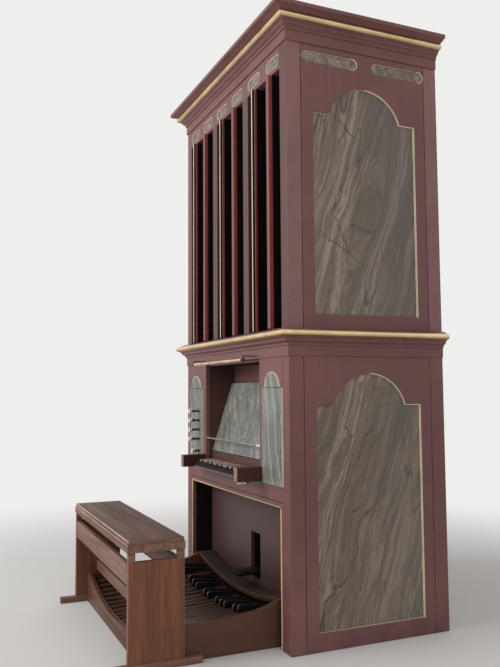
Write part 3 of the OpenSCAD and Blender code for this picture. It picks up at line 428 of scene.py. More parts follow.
# The record's slots and their finishes: maker, names of the colours in the settings, and the maker's other values
SIDE_COLOURS = "marble_light marble_mid marble_dark marble_cool"
DESK_COLOURS = "desk_light desk_mid desk_dark desk_mid"
RECIPES = {
    "mauve_paint": {
        "case_paint": (painted, "case"),
        "case_paint_level": (painted, "case", False),
        "knee_paint": (painted, "knee"),
        "board_paint": (painted, "board", False, 0.2),
        "slip_paint": (painted, "slip", False),
        "post_paint": (painted, "post"),
        "stile_paint": (painted, "stile"),
        "niche_paint": (painted, "niche", True, 0.2),
        "leaf_red": (painted, "leaf_red", True, 0.2),
        "leaf_dark": (painted, "leaf_dark", True, 0.1, 0.6, 0.1),
    },
    "dark_stain": {
        "inside_stain": (painted, "inside", True, 0.1, 0.6, 0.1),
        "dark_stain_x": (wooden, "stain", 0.4, "x", 0.45, 0.4),
        "dark_stain_y": (wooden, "stain", 0.4, "y", 0.45, 0.4),
        "shoe_black": (wooden, "shoe_black", 0.5, "y", 0.5, 0.3),
        "cheek_brown": (wooden, "cheek_brown", 0.4, "y", 0.35, 0.4),
        "cheek_front": (wooden, "cheek_front", 0.5, "z", 0.4, 0.4),
        "pedal_tip": (polished, "tip", 0.5, 0.0, 0.4, 60),
    },
    "marble_paint": {
        "side_marble": (marbled, SIDE_COLOURS, (17, 0, 0), 1.0, 0.15, 0.8, 0.95, True),
        "pill_marble": (marbled, SIDE_COLOURS, (-38, 38, 0), 2.2, 0.10, 0.9, 0.2),
        "front_marble": (marbled, DESK_COLOURS, (0, 9, 0), 1.8, 0.10, 1.0, 0.3),
        "desk_marble": (marbled, DESK_COLOURS, (0, 28, 0), 1.8, 0.12, 1.0, 0.3),
    },
    "gilding": {
        "gold_leaf": (gilded, "gold bole"),
        "gold_toned": (gilded, "gold_low bole"),
        "gold_edge": (gilded, "gold_edge gold_low", 0.12),
        "rail_grey": (polished, "rail_grey", 0.3, 0.6, 0.3, 40),
    },
    "oak": {
        "oak_x": (wooden, "oak oak_dark", "x"),
        "oak_y": (wooden, "oak oak_dark", "y"),
        "end_oak": (wooden, "end_oak oak_dark", "z", 0.5, 0.45),
        "seat_oak": (wooden, "seat_oak", 0.45, "x", 0.5, 0.6, 0.12),
        "pedal_oak_x": (wooden, "pedal_oak oak_dark", "x"),
        "pedal_oak_y": (wooden, "pedal_oak oak_dark", "y"),
        "worn_edge": (wooden, "worn seat_oak", "x", 0.35, 0.3),
        "toe_board": (wooden, "toe_board", 0.5, "x", 0.6, 0.4),
    },
    "black_wood": {
        "black_wood": (polished, "black", 0.28),
        "key_black": (polished, "key_black", 0.55, 0.0, 0.35, 60, 0.2),
    },
    "bone": {
        "aged_bone": (polished, "bone", 0.35, 0.0, 0.2, 90),
        "sharp_bone": (polished, "sharp_bone", 0.4, 0.0, 0.3, 90),
    },
    "pipe_metal": {
        "pipe_tin": (polished, "tin", 0.34, 1.0, 0.3, 14),
    },
    "lamp_brass": {
        "lamp_brass": (polished, "brass", 0.3, 1.0, 0.3, 30),
        "lamp_end": (polished, "lamp_end", 0.35, 0.8, 0.3, 40),
    },
    "dark_metal": {
        "black_metal": (polished, "iron", 0.4),
    },
}
SLOT_OF = {name: slot for slot, finishes in RECIPES.items() for name in finishes}
BODY_OF = {node: body for body, nodes in frame["record"]["behaviour"]["bodies"].items() for node in nodes}
MADE = {}


def finish(name):
    """A finish by name, made when it is first asked for."""
    if name not in MADE:
        paint, wood = bpy.context.scene.organ_paint, bpy.context.scene.organ_wood
        maker, names, *values = RECIPES[SLOT_OF[name]][name]
        colours = (getattr(paint if hasattr(paint, c) else wood, c) for c in names.split())
        MADE[name] = maker(name, *colours, *values)
    return MADE[name]


# Meshes

def clothe(piece, finishes):
    """Lays named finishes on a piece, each on the faces with its number."""
    mesh, names = piece.data, finishes.split()
    picks = [0]*len(mesh.polygons)
    if len(names) > 1:
        mesh.polygons.foreach_get("material_index", picks)
    mesh.materials.clear()
    for name in names:
        mesh.materials.append(finish(name))
    mesh.polygons.foreach_set("material_index", picks)


def placed(name, data):
    """A new object in the scene."""
    item = bpy.data.objects.new(name, data)
    bpy.context.scene.collection.objects.link(item)
    return item


def put(name, mesh, finishes, node):
    """A new piece in place, riding on its body and standing for a CAD node."""
    piece = placed(name, mesh)
    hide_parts(node)
    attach(piece, BODY_OF[node])
    clothe(piece, finishes)


def ease(bm, width, least=0.008, steps=2):
    """Rounds the outer edges that are long enough and tags the new faces for the rubbed look."""
    tag = bm.faces.layers.float.get("edge") or bm.faces.layers.float.new("edge")
    bm.normal_update()
    edges = [e for e in bm.edges if len(e.link_faces) == 2 and e.is_convex
             and e.calc_face_angle(0.0) > math.radians(28) and e.calc_length() > least]
    if edges and width:
        made = bmesh.ops.bevel(bm, geom=edges, offset=width, offset_type="OFFSET", segments=steps, profile=0.5,
                               affect="EDGES", clamp_overlap=False)
        for face in made["faces"]:
            face[tag] = 1.0


def merged(node):
    """Closed copy of a CAD node's mesh with its flat faces joined."""
    bm = bmesh.new()
    bm.from_mesh(NODES[node].data)
    bmesh.ops.remove_doubles(bm, verts=bm.verts, dist=1e-5)
    bmesh.ops.dissolve_limit(bm, angle_limit=math.radians(0.6), verts=bm.verts, edges=bm.edges)
    return bm


def to_mesh(name, bm, limit=20.0):
    """Smooth mesh in which every edge sharper than the limit stays crisp."""
    bm.normal_update()
    for face in bm.faces:
        face.smooth = True
    for edge in bm.edges:
        edge.smooth = len(edge.link_faces) == 2 and edge.calc_face_angle(0.0) < math.radians(limit)
    mesh = bpy.data.meshes.new(name)
    bm.to_mesh(mesh)
    bm.free()
    return mesh


def dress(node, finishes, rule=None, width=None, cuts=(), limit=20.0):
    """Eased piece in place of a CAD node, with cuts along planes. The rule gives the number of each face's finish."""
    if width is None:
        width = bpy.context.scene.organ_sizes.case_edge
    bm = merged(node)
    for axis, at in cuts:
        normal = Vector([float(a == axis) for a in "xyz"])
        bmesh.ops.bisect_plane(bm, geom=bm.verts[:] + bm.edges[:] + bm.faces[:], plane_co=normal*at, plane_no=normal,
                               dist=1e-6)
    ease(bm, width)
    bm.normal_update()
    if rule:
        for face in bm.faces:
            face.material_index = int(rule(face.calc_center_median(), face.normal))
    put(node + "_dressed", to_mesh(node, bm, limit), finishes, node)


def turned(profile, centre, axis, sides):
    """Turned form from (radius, distance, finish number) points along an axis through the centre."""
    bm = bmesh.new()
    rings = []
    for radius, along, _ in profile:
        ring = []
        for k in range(sides if radius > 0 else 1):
            a = 2*math.pi*k/sides
            u, v = radius*math.cos(a), radius*math.sin(a)
            co = {"x": (along, u, v), "y": (v, along, u), "z": (u, v, along)}[axis]
            ring.append(bm.verts.new(Vector(centre) + Vector(co)))
        rings.append(ring)
    for i in range(len(rings) - 1):
        a, b = rings[i], rings[i + 1]
        for k in range(sides):
            corners = list(dict.fromkeys((a[k % len(a)], a[(k + 1) % len(a)], b[(k + 1) % len(b)], b[k % len(b)])))
            if len(corners) > 2:
                bm.faces.new(corners).material_index = profile[i + 1][2]
    bmesh.ops.recalc_face_normals(bm, faces=bm.faces)
    return bm


def loft(outlines):
    """Closed form through outlines that have equally many points."""
    bm = bmesh.new()
    rings = [[bm.verts.new(p) for p in outline] for outline in outlines]
    bm.faces.new(rings[0][::-1])
    bm.faces.new(rings[-1])
    for a, b in zip(rings, rings[1:]):
        for k in range(len(a)):
            bm.faces.new((a[k - 1], a[k], b[k], b[k - 1]))
    bmesh.ops.recalc_face_normals(bm, faces=bm.faces)
    return bm


def prism(points, half):
    """Form with an outline in Y and Z and half its width along X."""
    return loft([[(x, y, z) for y, z in points] for x in (-half, half)])


OCTAVE = 7.0  # natural keys in an octave
SHARP_GAPS = {"first": 1, "gaps": (0, 3)}  # number of the first place, and the places in an octave without a sharp
ROW_INPUTS = {"Count": "Int", "Start": "Vector", "Step": "Vector", "Dish": "Float", "First number": "Float",
              "Gap one": "Float", "Gap two": "Float", "Seed": "Int", "Finish": "Material"}


def row_tree():
    """Geometry nodes that repeat a piece along a line, raised by the square of its place, with gaps."""
    if "Row of pieces" in bpy.data.node_groups:
        return bpy.data.node_groups["Row of pieces"]
    tree = bpy.data.node_groups.new("Row of pieces", "GeometryNodeTree")
    face = tree.interface
    face.new_socket(name="Piece", in_out="INPUT", socket_type="NodeSocketGeometry")
    for name, kind in ROW_INPUTS.items():
        face.new_socket(name=name, in_out="INPUT", socket_type="NodeSocket" + kind)
    face.new_socket(name="Row", in_out="OUTPUT", socket_type="NodeSocketGeometry")
    f = Steps(tree)
    given = f.node("NodeGroupInput", {}).outputs
    line = f.node("GeometryNodeMeshLine", {"Count": given["Count"], "Start Location": given["Start"],
                                           "Offset": given["Step"]}, mode="OFFSET")
    across = f.node("SeparateXYZ", {0: f.node("GeometryNodeInputPosition", {}).outputs[0]}).outputs[0]
    lift = f.node("CombineXYZ", {2: f.times(f.times(across, across), given["Dish"])})
    dished = f.node("GeometryNodeSetPosition", {"Geometry": line.outputs[0], "Offset": lift.outputs[0]})
    index = f.node("GeometryNodeInputIndex", {}).outputs[0]
    number = f.maths("MODULO", f.maths("ADD", index, given["First number"]), OCTAVE)
    gaps = [f.node("Math", {0: number, 1: given[gap], 2: 0.1}, operation="COMPARE").outputs[0]
            for gap in ("Gap one", "Gap two")]
    keep = f.less(1.0, f.maths("MAXIMUM", *gaps))
    spread = f.node("GeometryNodeInstanceOnPoints", {"Points": dished.outputs[0], "Selection": keep,
                                                     "Instance": given["Piece"]})
    chance = f.node("FunctionNodeRandomValue", {"Seed": given["Seed"], "ID": index}, data_type="FLOAT")
    named = f.node("GeometryNodeStoreNamedAttribute", {"Geometry": spread.outputs[0], "Name": "tone"},
                   data_type="FLOAT", domain="INSTANCE")
    f.plug(next(s for s in named.inputs if s.name == "Value" and s.enabled), chance.outputs[1])
    real = f.node("GeometryNodeRealizeInstances", {"Geometry": named.outputs[0]})
    done = f.node("GeometryNodeSetMaterial", {"Geometry": real.outputs[0], "Material": given["Finish"]})
    f.node("NodeGroupOutput", {"Row": done.outputs[0]})
    return tree


def row(name, node, bm, made_of, count, start, step, seed, dish=0.0, first=0, gaps=(-9, -9)):
    """A row of like pieces along X as one plain mesh, in place of a CAD node."""
    tree = row_tree()
    host = placed(name, to_mesh(name, bm))
    host.data.materials.append(finish(made_of))
    rule = host.modifiers.new("Row", "NODES")
    rule.node_group = tree
    values = {"Count": count, "Start": (start, 0, 0), "Step": (step, 0, 0), "Dish": dish, "Seed": seed,
              "First number": float(first), "Gap one": float(gaps[0]), "Gap two": float(gaps[1]),
              "Finish": finish(made_of)}
    for item in tree.interface.items_tree:
        if item.in_out == "INPUT" and item.name in values:
            rule[item.identifier] = values[item.name]
    graph = bpy.context.evaluated_depsgraph_get()
    mesh = bpy.data.meshes.new_from_object(host.evaluated_get(graph), preserve_all_data_layers=True,
                                           depsgraph=graph)
    host.modifiers.remove(rule)
    bpy.data.objects.remove(host)
    mesh.name = name
    put(name, mesh, made_of, node)


def side(x):
    """1 in the right half of the organ, -1 in the left half."""
    return 1.0 if x > 0 else -1.0


def back_face(centre, normal):
    """True for a face that looks to the back."""
    return normal.y > 0.5


# Pieces

class ORGAN_OT_joinery(Operator):
    """Paints the boards, posts and cornices of the case"""
    bl_idname = "organ.joinery"
    bl_label = "Case joinery"

    def execute(self, context):
        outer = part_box("corner_posts")[1].x

        def board(centre, normal):
            # How far the face looks outwards, and how far it lies behind the outer side
            out, depth = normal.x*side(centre.x), outer - abs(centre.x)
            if out < -0.5:
                return 1
            if (out > 0.5 and depth > 0.002) or (abs(out) < 0.3 and 0.0005 < depth < 0.0045):
                return 3
            return 2 if abs(out) < 0.3 and depth < 0.010 and normal.y < -0.2 else 0

        def grooved(centre, normal):
            return normal.y < -0.6 and centre.y > FRONT_Y + 0.002

        for node in ("lower_sides", "upper_sides"):
            dress(node, "case_paint inside_stain gold_edge leaf_dark", board)
        dress("back_boards", "case_paint inside_stain", lambda c, n: n.y < -0.5)
        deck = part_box("deck")[1].z

        # Above the deck the posts' outer sides take the lighter paint, painted light, and the right-hand fronts take
        # the darker stile paint, painted shade.
        def post(centre, normal):
            if centre.z < deck:
                return 0
            return 1 if normal.x*side(centre.x) > 0.5 else 2 if normal.y < -0.5 and centre.x > 0 else 0

        dress("corner_posts", "case_paint post_paint stile_paint", post)
        # The recessed knee panel takes the darker knee paint, painted shade.
        dress("knee_panel", "knee_paint")
        dress("knee_frame", "case_paint leaf_dark", grooved)
        dress("jambs", "case_paint leaf_dark", grooved, width=0.0008)
        # Stiles right of x = -0.4 take the darker stile paint, painted shade; the leftmost keep the case paint.
        dress("front_stiles", "case_paint inside_stain stile_paint",
              lambda c, n: 1 if n.y > 0.5 else 2 if c.x > -0.4 else 0)
        dress("header", "case_paint_level inside_stain", back_face)
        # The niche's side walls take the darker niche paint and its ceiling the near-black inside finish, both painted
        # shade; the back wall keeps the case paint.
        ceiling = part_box("niche_lining")[1].z - 0.02
        dress("niche_lining", "case_paint inside_stain niche_paint",
              lambda c, n: 1 if c.z > ceiling else 2 if abs(n.x) > 0.5 else 0)
        dress("nameboard", "board_paint")
        dress("key_bed", "slip_paint")
        for node in ("mid_cornice", "top_cornice"):
            dress(node, "case_paint_level")
        for node in ("deck", "roof"):
            dress(node, "inside_stain case_paint_level", back_face, width=0.001)
        clothe(NODES["pivot_rail"], "inside_stain")
        return {"FINISHED"}


class ORGAN_OT_marbling(Operator):
    """Marbles the panels of sides, jambs, desk and frieze"""
    bl_idname = "organ.marbling"
    bl_label = "Marbled panels"

    def execute(self, context):
        gilt = 0.004  # width of the gilt strip on the front edges
        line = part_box("side_panels")[1].y - gilt
        # The pale gilt strip on the side panels' back ends is partly a painted highlight.
        dress("side_panels", "side_marble inside_stain gold_edge",
              lambda c, n: 1 if n.x*side(c.x) < -0.5 else 2 if c.y > line else 0,
              width=0.0006, cuts=[("y", line)])
        dress("jamb_panels", "front_marble", width=0.0006)
        dress("music_desk", "desk_marble", width=0.002)
        dress("pills", "pill_marble", width=0.0)
        return {"FINISHED"}


class ORGAN_OT_gilding(Operator):
    """Gilds the panel edges and beads"""
    bl_idname = "organ.gilding"
    bl_label = "Gilding"

    def execute(self, context):
        sizes = context.scene.organ_sizes
        low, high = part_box("side_panels")
        middle, deck = (low.y + high.y)/2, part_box("deck")[1].z
        posts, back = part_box("corner_posts"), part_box("pills")[1].y
        ends = (back, posts[0].y + posts[1].y - back + sizes.pill)
        frieze, round_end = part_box("pills")[0].z - 0.01, 0.045
        # The X of the two edges of the jambs' panels that keep their gilding below the arch
        bright = [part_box("jamb_panels")[1].x, -min(v.co.x for v in NODES["jamb_panels"].data.vertices if v.co.x > 0)]

        def rim(centre, normal):
            """Pale gold, partly a painted highlight, but marbling at the foot of the front's arches and paint on most
            of the sides' rims.
            """
            if centre.y < FRONT_Y + 0.02:
                plain = normal.y < -0.6 and centre.z < sizes.arch_foot + 0.003
                plain = plain and all(abs(centre.x - x) > 0.006 for x in bright)
                return 2 if plain else 0
            # On the sides' outward faces the pale gold lies only near the back end, on the back half away from the
            # feet and near the pills' round ends, where the highlights fall; it is partly a painted highlight, and
            # elsewhere these faces get case paint.
            if normal.x*side(centre.x) < 0.6:
                return 0
            if centre.z > frieze:
                return 0 if any(0 < end - centre.y < round_end for end in ends) else 1
            foot = centre.z < low.z + 0.05 or 0 < centre.z - deck < 0.15
            return 0 if centre.y > high.y - 0.003 or (centre.y > middle and not foot) else 1

        planes = [("z", sizes.arch_foot + 0.0025)]
        planes += [("y", y) for y in (middle, high.y - 0.0025, ends[0] - round_end, ends[1] - round_end)]
        dress("panel_rims", "gold_edge case_paint front_marble", rim, width=0.0, cuts=planes)
        # The knee bead's faces that look neither up nor right and the mid bead's under side take the toned gold,
        # painted shade.
        dress("knee_bead", "gold_leaf gold_toned", lambda c, n: max(n.x, n.z) <= 0.2, width=0.0)
        dress("top_bead", "gold_leaf", width=0.0)
        dress("mid_bead", "gold_leaf gold_toned", lambda c, n: n.z < -0.5, width=0.0)
        return {"FINISHED"}


class ORGAN_OT_console(Operator):
    """Finishes the desk rail, lamp, key cheeks and switch"""
    bl_idname = "organ.console"
    bl_label = "Console fittings"

    def execute(self, context):
        def lying(node):
            """Middle depth and height, radius and both ends of a round node along X."""
            low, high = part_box(node)
            return (low.y + high.y)/2, (low.z + high.z)/2, (high.z - low.z)/2, low.x, high.x

        # Points are (radius, distance, finish), and the last 6 cm of the rail are bone
        y, z, r, left, right = lying("music_rail")
        rail = turned([(0, left, 0), (r*0.8, left, 0), (r, left + 0.004, 0), (r*0.85, left + 0.012, 0),
                       (r*0.85, right - 0.06, 0), (r, right - 0.054, 1), (r, right - 0.006, 1),
                       (r*0.7, right, 1), (0, right, 1)], (0, y, z), "x", 24)
        put("music_rail_turned", to_mesh("music_rail", rail, 30), "rail_grey aged_bone", "music_rail")
        y, z, r, left, right = lying("console_lamp")
        cap = [(0, 0, 1), (r*0.8, 0, 1), (r*0.86, 0.002, 1), (r*0.86, 0.012, 1), (r, 0.013, 0)]
        tube = turned([(w, left + along, k) for w, along, k in cap]
                      + [(w, right - along, k) for w, along, k in reversed(cap)], (0, y, z), "x", 32)
        put("console_lamp_tube", to_mesh("console_lamp", tube, 30), "lamp_brass lamp_end", "console_lamp")
        dress("lamp_arms", "black_metal lamp_end", lambda c, n: abs(c.y - y) < r + 0.006, width=0.0, limit=35)
        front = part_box("key_cheeks")[0].y
        dress("key_cheeks", "cheek_brown cheek_front", lambda c, n: n.y < -0.6 and c.y < front + 0.004, width=0.002)
        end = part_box("cheek_switch")[1].y - 0.014  # the bone ends here
        dress("cheek_switch", "aged_bone black_metal", lambda c, n: c.y > end, width=0.001, cuts=[("y", end)])
        return {"FINISHED"}


class ORGAN_OT_keys(Operator):
    """Lays the natural and sharp keys in their rows"""
    bl_idname = "organ.keys"
    bl_label = "Keys"

    def execute(self, context):
        sizes = context.scene.organ_sizes
        low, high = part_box("natural_keys")
        pitch = (high.x - low.x + sizes.key_gap)/sizes.key_count
        half = (pitch - sizes.key_gap)/2
        top, foot = high.z, low.z
        key = prism([(low.y, top), (low.y, top - 0.0032), (low.y + 0.0015, top - 0.004), (low.y + 0.0015, foot),
                     (high.y, foot), (high.y, top)], half)
        ease(key, 0.0006, 0.004)
        start = low.x - sizes.key_gap/2
        row("natural_keys_row", "natural_keys", key, "key_black", sizes.key_count, start + pitch/2, pitch, 3)
        low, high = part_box("sharp_keys")
        half = (high.x - low.x)/2 - pitch*(sizes.key_count/2 - 2)  # half a sharp's width, from the row's whole width
        half = half if 0.003 < half < 0.008 else 0.0055
        plate = 0.0016  # thickness of the bone on a sharp
        # Each part's outlines from below: height, how far the front is set back, half the width
        for part, loops, made_of in (
                ("row", [(low.z, 0.001, half), (high.z - plate, 0.004, half*0.84)], "key_black"),
                ("noses", [(low.z + 0.001, 0.0, half*0.9), (high.z - plate, 0.003, half*0.78)], "sharp_bone"),
                ("caps", [(high.z - plate, 0.004, half*0.78), (high.z - 0.0006, 0.005, half*0.72),
                          (high.z, 0.007, half*0.6)], "sharp_bone")):
            back = low.y + 0.006 if part == "noses" else high.y
            sharp = loft([[(-w, low.y + cut, z), (w, low.y + cut, z), (w, back, z), (-w, back, z)]
                          for z, cut, w in loops])
            ease(sharp, 0.0003, 0.004)
            row(f"sharp_keys_{part}", "sharp_keys", sharp, made_of, sizes.key_count - 1, start + pitch, pitch, 5,
                **SHARP_GAPS)
        return {"FINISHED"}


class ORGAN_OT_stops(Operator):
    """Turns the five stop knobs"""
    bl_idname = "organ.stops"
    bl_label = "Stop knobs"

    def execute(self, context):
        for k in range(1, 6):
            node = f"stop_knob_{k}"
            low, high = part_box(node)
            r = (high.x - low.x)/2
            centre = ((low.x + high.x)/2, low.y, (low.z + high.z)/2)
            tail = high.y - low.y
            # Two turned rings, the neck between them and the tapering shank behind
            profile = [(0, 0.0004, 1), (r*0.60, 0.0001, 1), (r*0.88, 0, 1), (r*0.98, 0.0010, 1),
                       (r, 0.0026, 1), (r*0.985, 0.0042, 1), (r*0.92, 0.0046, 1), (r*0.62, 0.0050, 0),
                       (r*0.52, 0.0070, 0), (r*0.62, 0.0098, 0), (r*0.90, 0.0102, 1), (r*0.97, 0.0116, 1),
                       (r*0.97, 0.0160, 1), (r*0.90, 0.0174, 1), (r*0.70, 0.0178, 0), (r*0.64, 0.0220, 0),
                       (r*0.56, 0.0270, 0), (r*0.48, 0.0320, 0), (0.0068, 0.0366, 0), (0.006, 0.0380, 0),
                       (0.006, tail, 0), (0, tail, 0)]
            knob = turned(profile, centre, "y", 40)
            put(node + "_turned", to_mesh(node, knob, 40), "black_wood aged_bone", node)
        dress("stop_rosettes", "black_wood", width=0.0, limit=30)
        return {"FINISHED"}


class ORGAN_OT_swell(Operator):
    """Finishes the swell pedal, its slot box and the knee hole's inner walls"""
    bl_idname = "organ.swell"
    bl_label = "Swell pedal"

    def execute(self, context):
        dress("swell_pedal", "shoe_black", width=0.0025, limit=30)
        # The slot box and the knee hole's walls are near-black, painted shade.
        clothe(NODES["slot_box"], "inside_stain")
        dress("knee_walls", "inside_stain")
        return {"FINISHED"}


class ORGAN_OT_shutters(Operator):
    """Paints the six shutters and gilds the beads on their meeting edges"""
    bl_idname = "organ.shutters"
    bl_label = "Shutters"

    def execute(self, context):
        strip = context.scene.organ_sizes.leaf_strip
        for k in range(1, 7):
            node = f"shutter_{k}"
            low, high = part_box(node)
            middle = (low.x + high.x)/2
            bead = k % 2 == 1
            edge = low.y + (0.012 if bead else 0.0)  # the wood starts behind the bead
            line = edge + strip*(0.6 if bead else 1.0)

            # Past the red strip the inner side is near-black, painted shade; the gilt bead is pale gold only on its
            # front face and near-black, painted shade, on its other faces.
            def rule(centre, normal):
                if bead and centre.y < edge - 0.0005:
                    return 3 if normal.x < 0.3 and normal.y < -0.6 else 2
                if normal.x > 0.6 and centre.x > middle:
                    return 1 if centre.y < line else 2
                return 0 if normal.y < -0.6 or normal.x < -0.6 or abs(normal.z) > 0.6 else 1

            dress(node, "case_paint leaf_red leaf_dark gold_edge", rule, width=0.002, cuts=[("y", line)])
        return {"FINISHED"}


class ORGAN_OT_pipework(Operator):
    """Finishes pipes, rack and windchest"""
    bl_idname = "organ.pipework"
    bl_label = "Pipework"

    def execute(self, context):
        dress("pipes", "pipe_tin", width=0.0, limit=35)
        clothe(NODES["windchest"], "dark_stain_x")
        clothe(NODES["pipe_rack"], "dark_stain_x")
        return {"FINISHED"}


class ORGAN_OT_pedalboard(Operator):
    """Builds the dished pedalboard with its bars, cheeks and rails"""
    bl_idname = "organ.pedalboard"
    bl_label = "Pedalboard"

    def execute(self, context):
        sizes = context.scene.organ_sizes
        # The pedalboard's darker oak is painted shade.
        dress("pedal_cheeks", "pedal_oak_y", width=0.003)
        rail_back = FRONT_Y + 0.054
        dress("pedal_rails", "pedal_oak_x toe_board", lambda c, n: c.y > rail_back, width=0.004, limit=25)
        clothe(NODES["pedal_combs"], "dark_stain_x")
        low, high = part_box("pedal_naturals")
        pitch = (high.x - low.x - sizes.pedal_width)/(sizes.pedal_count - 1)
        inner = pitch*(sizes.pedal_count - 1)/2
        dish = (high.z - sizes.pedal_toe)/inner**2
        t, half = sizes.pedal_thick, sizes.pedal_width/2
        bar = prism([(low.y, sizes.pedal_heel - t), (high.y, sizes.pedal_toe - t), (high.y, sizes.pedal_toe),
                     (low.y, sizes.pedal_heel)], half)
        ease(bar, 0.004, 0.02, 3)
        row("pedal_naturals_row", "pedal_naturals", bar, "pedal_oak_y", sizes.pedal_count, -inner, pitch, 11, dish)
        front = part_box("pedal_sharps")[0].y
        slope = (sizes.pedal_toe - sizes.pedal_heel)/(high.y - low.y)
        toe = FRONT_Y + 0.011
        heel, half = toe - 0.160, 0.0095

        def top(y):
            """Height of the natural pedals' upper side."""
            return sizes.pedal_toe - slope*(high.y - y)

        for part, made_of, seed, wide, rounding, least, outline in (
                ("bars", "dark_stain_y", 12, half, 0.003, 0.02,
                 [(front, top(front) - t), (high.y, top(high.y) - t), (high.y, top(high.y)), (front, top(front))]),
                ("tops", "shoe_black", 12, half, 0.003, 0.009,
                 [(heel, top(heel) - 0.002), (toe, top(toe) - 0.002), (toe, top(toe) + 0.014)]
                 + [(heel + back, top(heel) + up)
                    for back, up in ((0.05, 0.036), (0.014, 0.040), (0.004, 0.036), (0, 0.028))]),
                # The pale tips on the sharps' front ends are a painted highlight.
                ("tips", "pedal_tip", 13, half*0.42, 0.0008, 0.002,
                 [(heel + back, top(heel) + up)
                  for back, up in ((-0.0004, 0.012), (0.003, 0.010), (0.006, 0.035), (0.0036, 0.0364),
                                   (-0.0004, 0.028))])):
            sharp = prism(outline, wide)
            ease(sharp, rounding, least)
            row(f"pedal_sharps_{part}", "pedal_sharps", sharp, made_of, sizes.pedal_count - 1, -inner + pitch/2,
                pitch, seed, dish, **SHARP_GAPS)
        return {"FINISHED"}


class ORGAN_OT_bench(Operator):
    """Finishes the oak bench"""
    bl_idname = "organ.bench"
    bl_label = "Bench"

    def execute(self, context):
        edge, above_feet = context.scene.organ_sizes.bench_edge, 0.035
        dress("bench_ends", "end_oak oak_y", lambda c, n: c.z < above_feet, width=edge)
        dress("bench_rails", "oak_x", width=edge)
        dress("bench_blocks", "oak_y", width=edge*0.6)
        # The bevel along the seat's front top edge is pale, a painted highlight.
        dress("bench_seat", "seat_oak worn_edge oak_x",
              lambda c, n: 1 if n.y < -0.25 and n.z > 0.25 else 0 if n.z > 0.5 else 2, width=edge)
        return {"FINISHED"}


WARM_WHITE = (1, 0.985, 0.97, 1)
# The photograph's camera: place in metres, direction, roll and lens in millimetres
CAMERA_AT, CAMERA_AHEAD = Vector((4.093, -1.702, 1.300)), Vector((-0.913, 0.400, 0.077))
CAMERA_ROLL, CAMERA_LENS = math.radians(-0.37), 39.757


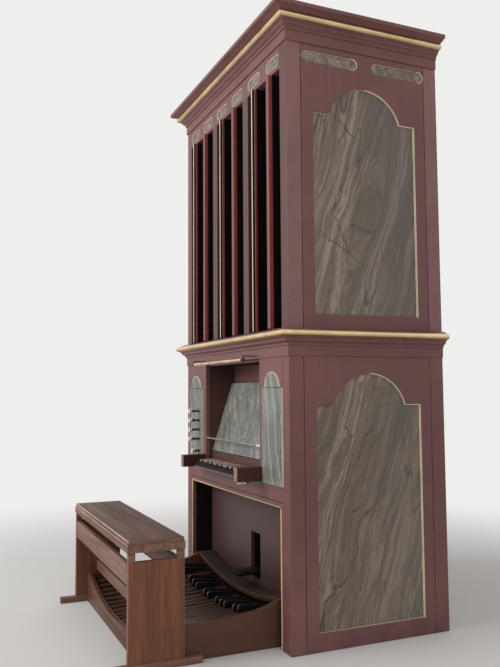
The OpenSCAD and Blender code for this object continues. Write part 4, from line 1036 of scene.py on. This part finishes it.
class ORGAN_OT_stage(Operator):
    """Sets the floor, lamps, even light and camera"""
    bl_idname = "organ.stage"
    bl_label = "Studio"

    def execute(self, context):
        scene, stage = context.scene, context.scene.organ_stage
        bm = bmesh.new()
        bmesh.ops.create_circle(bm, cap_ends=True, segments=96, radius=30)
        floor = placed("studio_floor", bpy.data.meshes.new("studio_floor"))
        bm.to_mesh(floor.data)
        bm.free()
        pale = Finish("studio_floor", 0.85)
        pale.colour(shade(stage.floor))
        far = pale.vector("LENGTH", pale.place, {}).outputs["Value"]
        seen_far = pale.times(pale.span(far, 1.8, 5.0), pale.node("LightPath", {}).outputs["Is Camera Ray"])
        glow = pale.node("Emission", {"Color": shade(stage.background)})
        fade = pale.node("MixShader", {0: seen_far, 1: pale.surface.outputs[0], 2: glow.outputs[0]})
        pale.plug(pale.out.inputs[0], fade.outputs[0])
        floor.data.materials.append(pale.material)
        floor.location.z = -0.0005

        def lamp(name, at, to, power):
            data = bpy.data.lights.new(name, "AREA")
            data.shape = "RECTANGLE"
            data.size, data.size_y = 5.0, 4.0
            data.energy = power
            item = placed(name, data)
            item.location = at
            item.rotation_euler = (Vector(to) - Vector(at)).to_track_quat("-Z", "Y").to_euler()

        lamp("front_lamp", (-0.8, -7.5, 4.6), (0, 0, 1.6), stage.key_power)
        lamp("side_lamp", (7.5, -1.5, 4.2), (0, 0, 1.5), stage.fill_power)
        scene.world = bpy.data.worlds.new("even_light")
        scene.world.use_nodes = True
        sky = Steps(scene.world.node_tree)
        sky.tree.nodes.clear()
        rays = sky.node("LightPath", {}).outputs
        seen = sky.maths("MAXIMUM", rays["Is Camera Ray"], rays["Is Glossy Ray"])
        seen = sky.maths("MAXIMUM", seen, rays["Is Transmission Ray"])
        light = sky.node("Background", {0: WARM_WHITE, 1: stage.sky}).outputs[0]
        shown = sky.node("Background", {0: shade(stage.background), 1: 1.0}).outputs[0]
        sky.node("OutputWorld", {0: sky.node("MixShader", {0: seen, 1: light, 2: shown}).outputs[0]})

        ahead = CAMERA_AHEAD.normalized()
        right = ahead.cross(Vector((0, 0, 1))).normalized()
        right = math.cos(CAMERA_ROLL)*right + math.sin(CAMERA_ROLL)*right.cross(ahead)
        turn = Matrix((right, right.cross(ahead), -ahead)).transposed().to_4x4()
        camera = placed("camera", bpy.data.cameras.new("camera"))
        camera.matrix_world = Matrix.Translation(CAMERA_AT) @ turn
        camera.data.lens = CAMERA_LENS
        camera.data.sensor_width = 36
        camera.data.clip_end = 200
        scene.camera = camera
        scene.view_settings.view_transform = "Standard"
        return {"FINISHED"}


class ORGAN_PT_panel(Panel):
    """Settings and steps of the organ's finishes"""
    bl_idname = "ORGAN_PT_panel"
    bl_label = "Pipe organ"
    bl_space_type = "VIEW_3D"
    bl_region_type = "UI"
    bl_category = "Organ"

    def draw(self, context):
        for group in SETTINGS:
            box = self.layout.box()
            for key in SETTINGS[group].__annotations__:
                box.prop(getattr(context.scene, group), key)
        for step in STEPS:
            self.layout.operator(step.bl_idname)


SETTINGS = {"organ_paint": OrganPaint, "organ_wood": OrganWood, "organ_sizes": OrganSizes,
            "organ_stage": OrganStage}
STEPS = (ORGAN_OT_stage, ORGAN_OT_joinery, ORGAN_OT_marbling, ORGAN_OT_gilding, ORGAN_OT_console, ORGAN_OT_keys,
         ORGAN_OT_stops, ORGAN_OT_swell, ORGAN_OT_shutters, ORGAN_OT_pipework, ORGAN_OT_pedalboard,
         ORGAN_OT_bench)


def register():
    for item in (*SETTINGS.values(), *STEPS, ORGAN_PT_panel):
        bpy.utils.register_class(item)
    for name, kind in SETTINGS.items():
        setattr(bpy.types.Scene, name, PointerProperty(type=kind))


def unregister():
    for name in SETTINGS:
        delattr(bpy.types.Scene, name)
    for item in (ORGAN_PT_panel, *reversed(STEPS), *reversed(list(SETTINGS.values()))):
        bpy.utils.unregister_class(item)


def main():
    register()
    for step in STEPS:
        group, name = step.bl_idname.split(".")
        getattr(getattr(bpy.ops, group), name)()


if __name__ == "__main__":
    main()
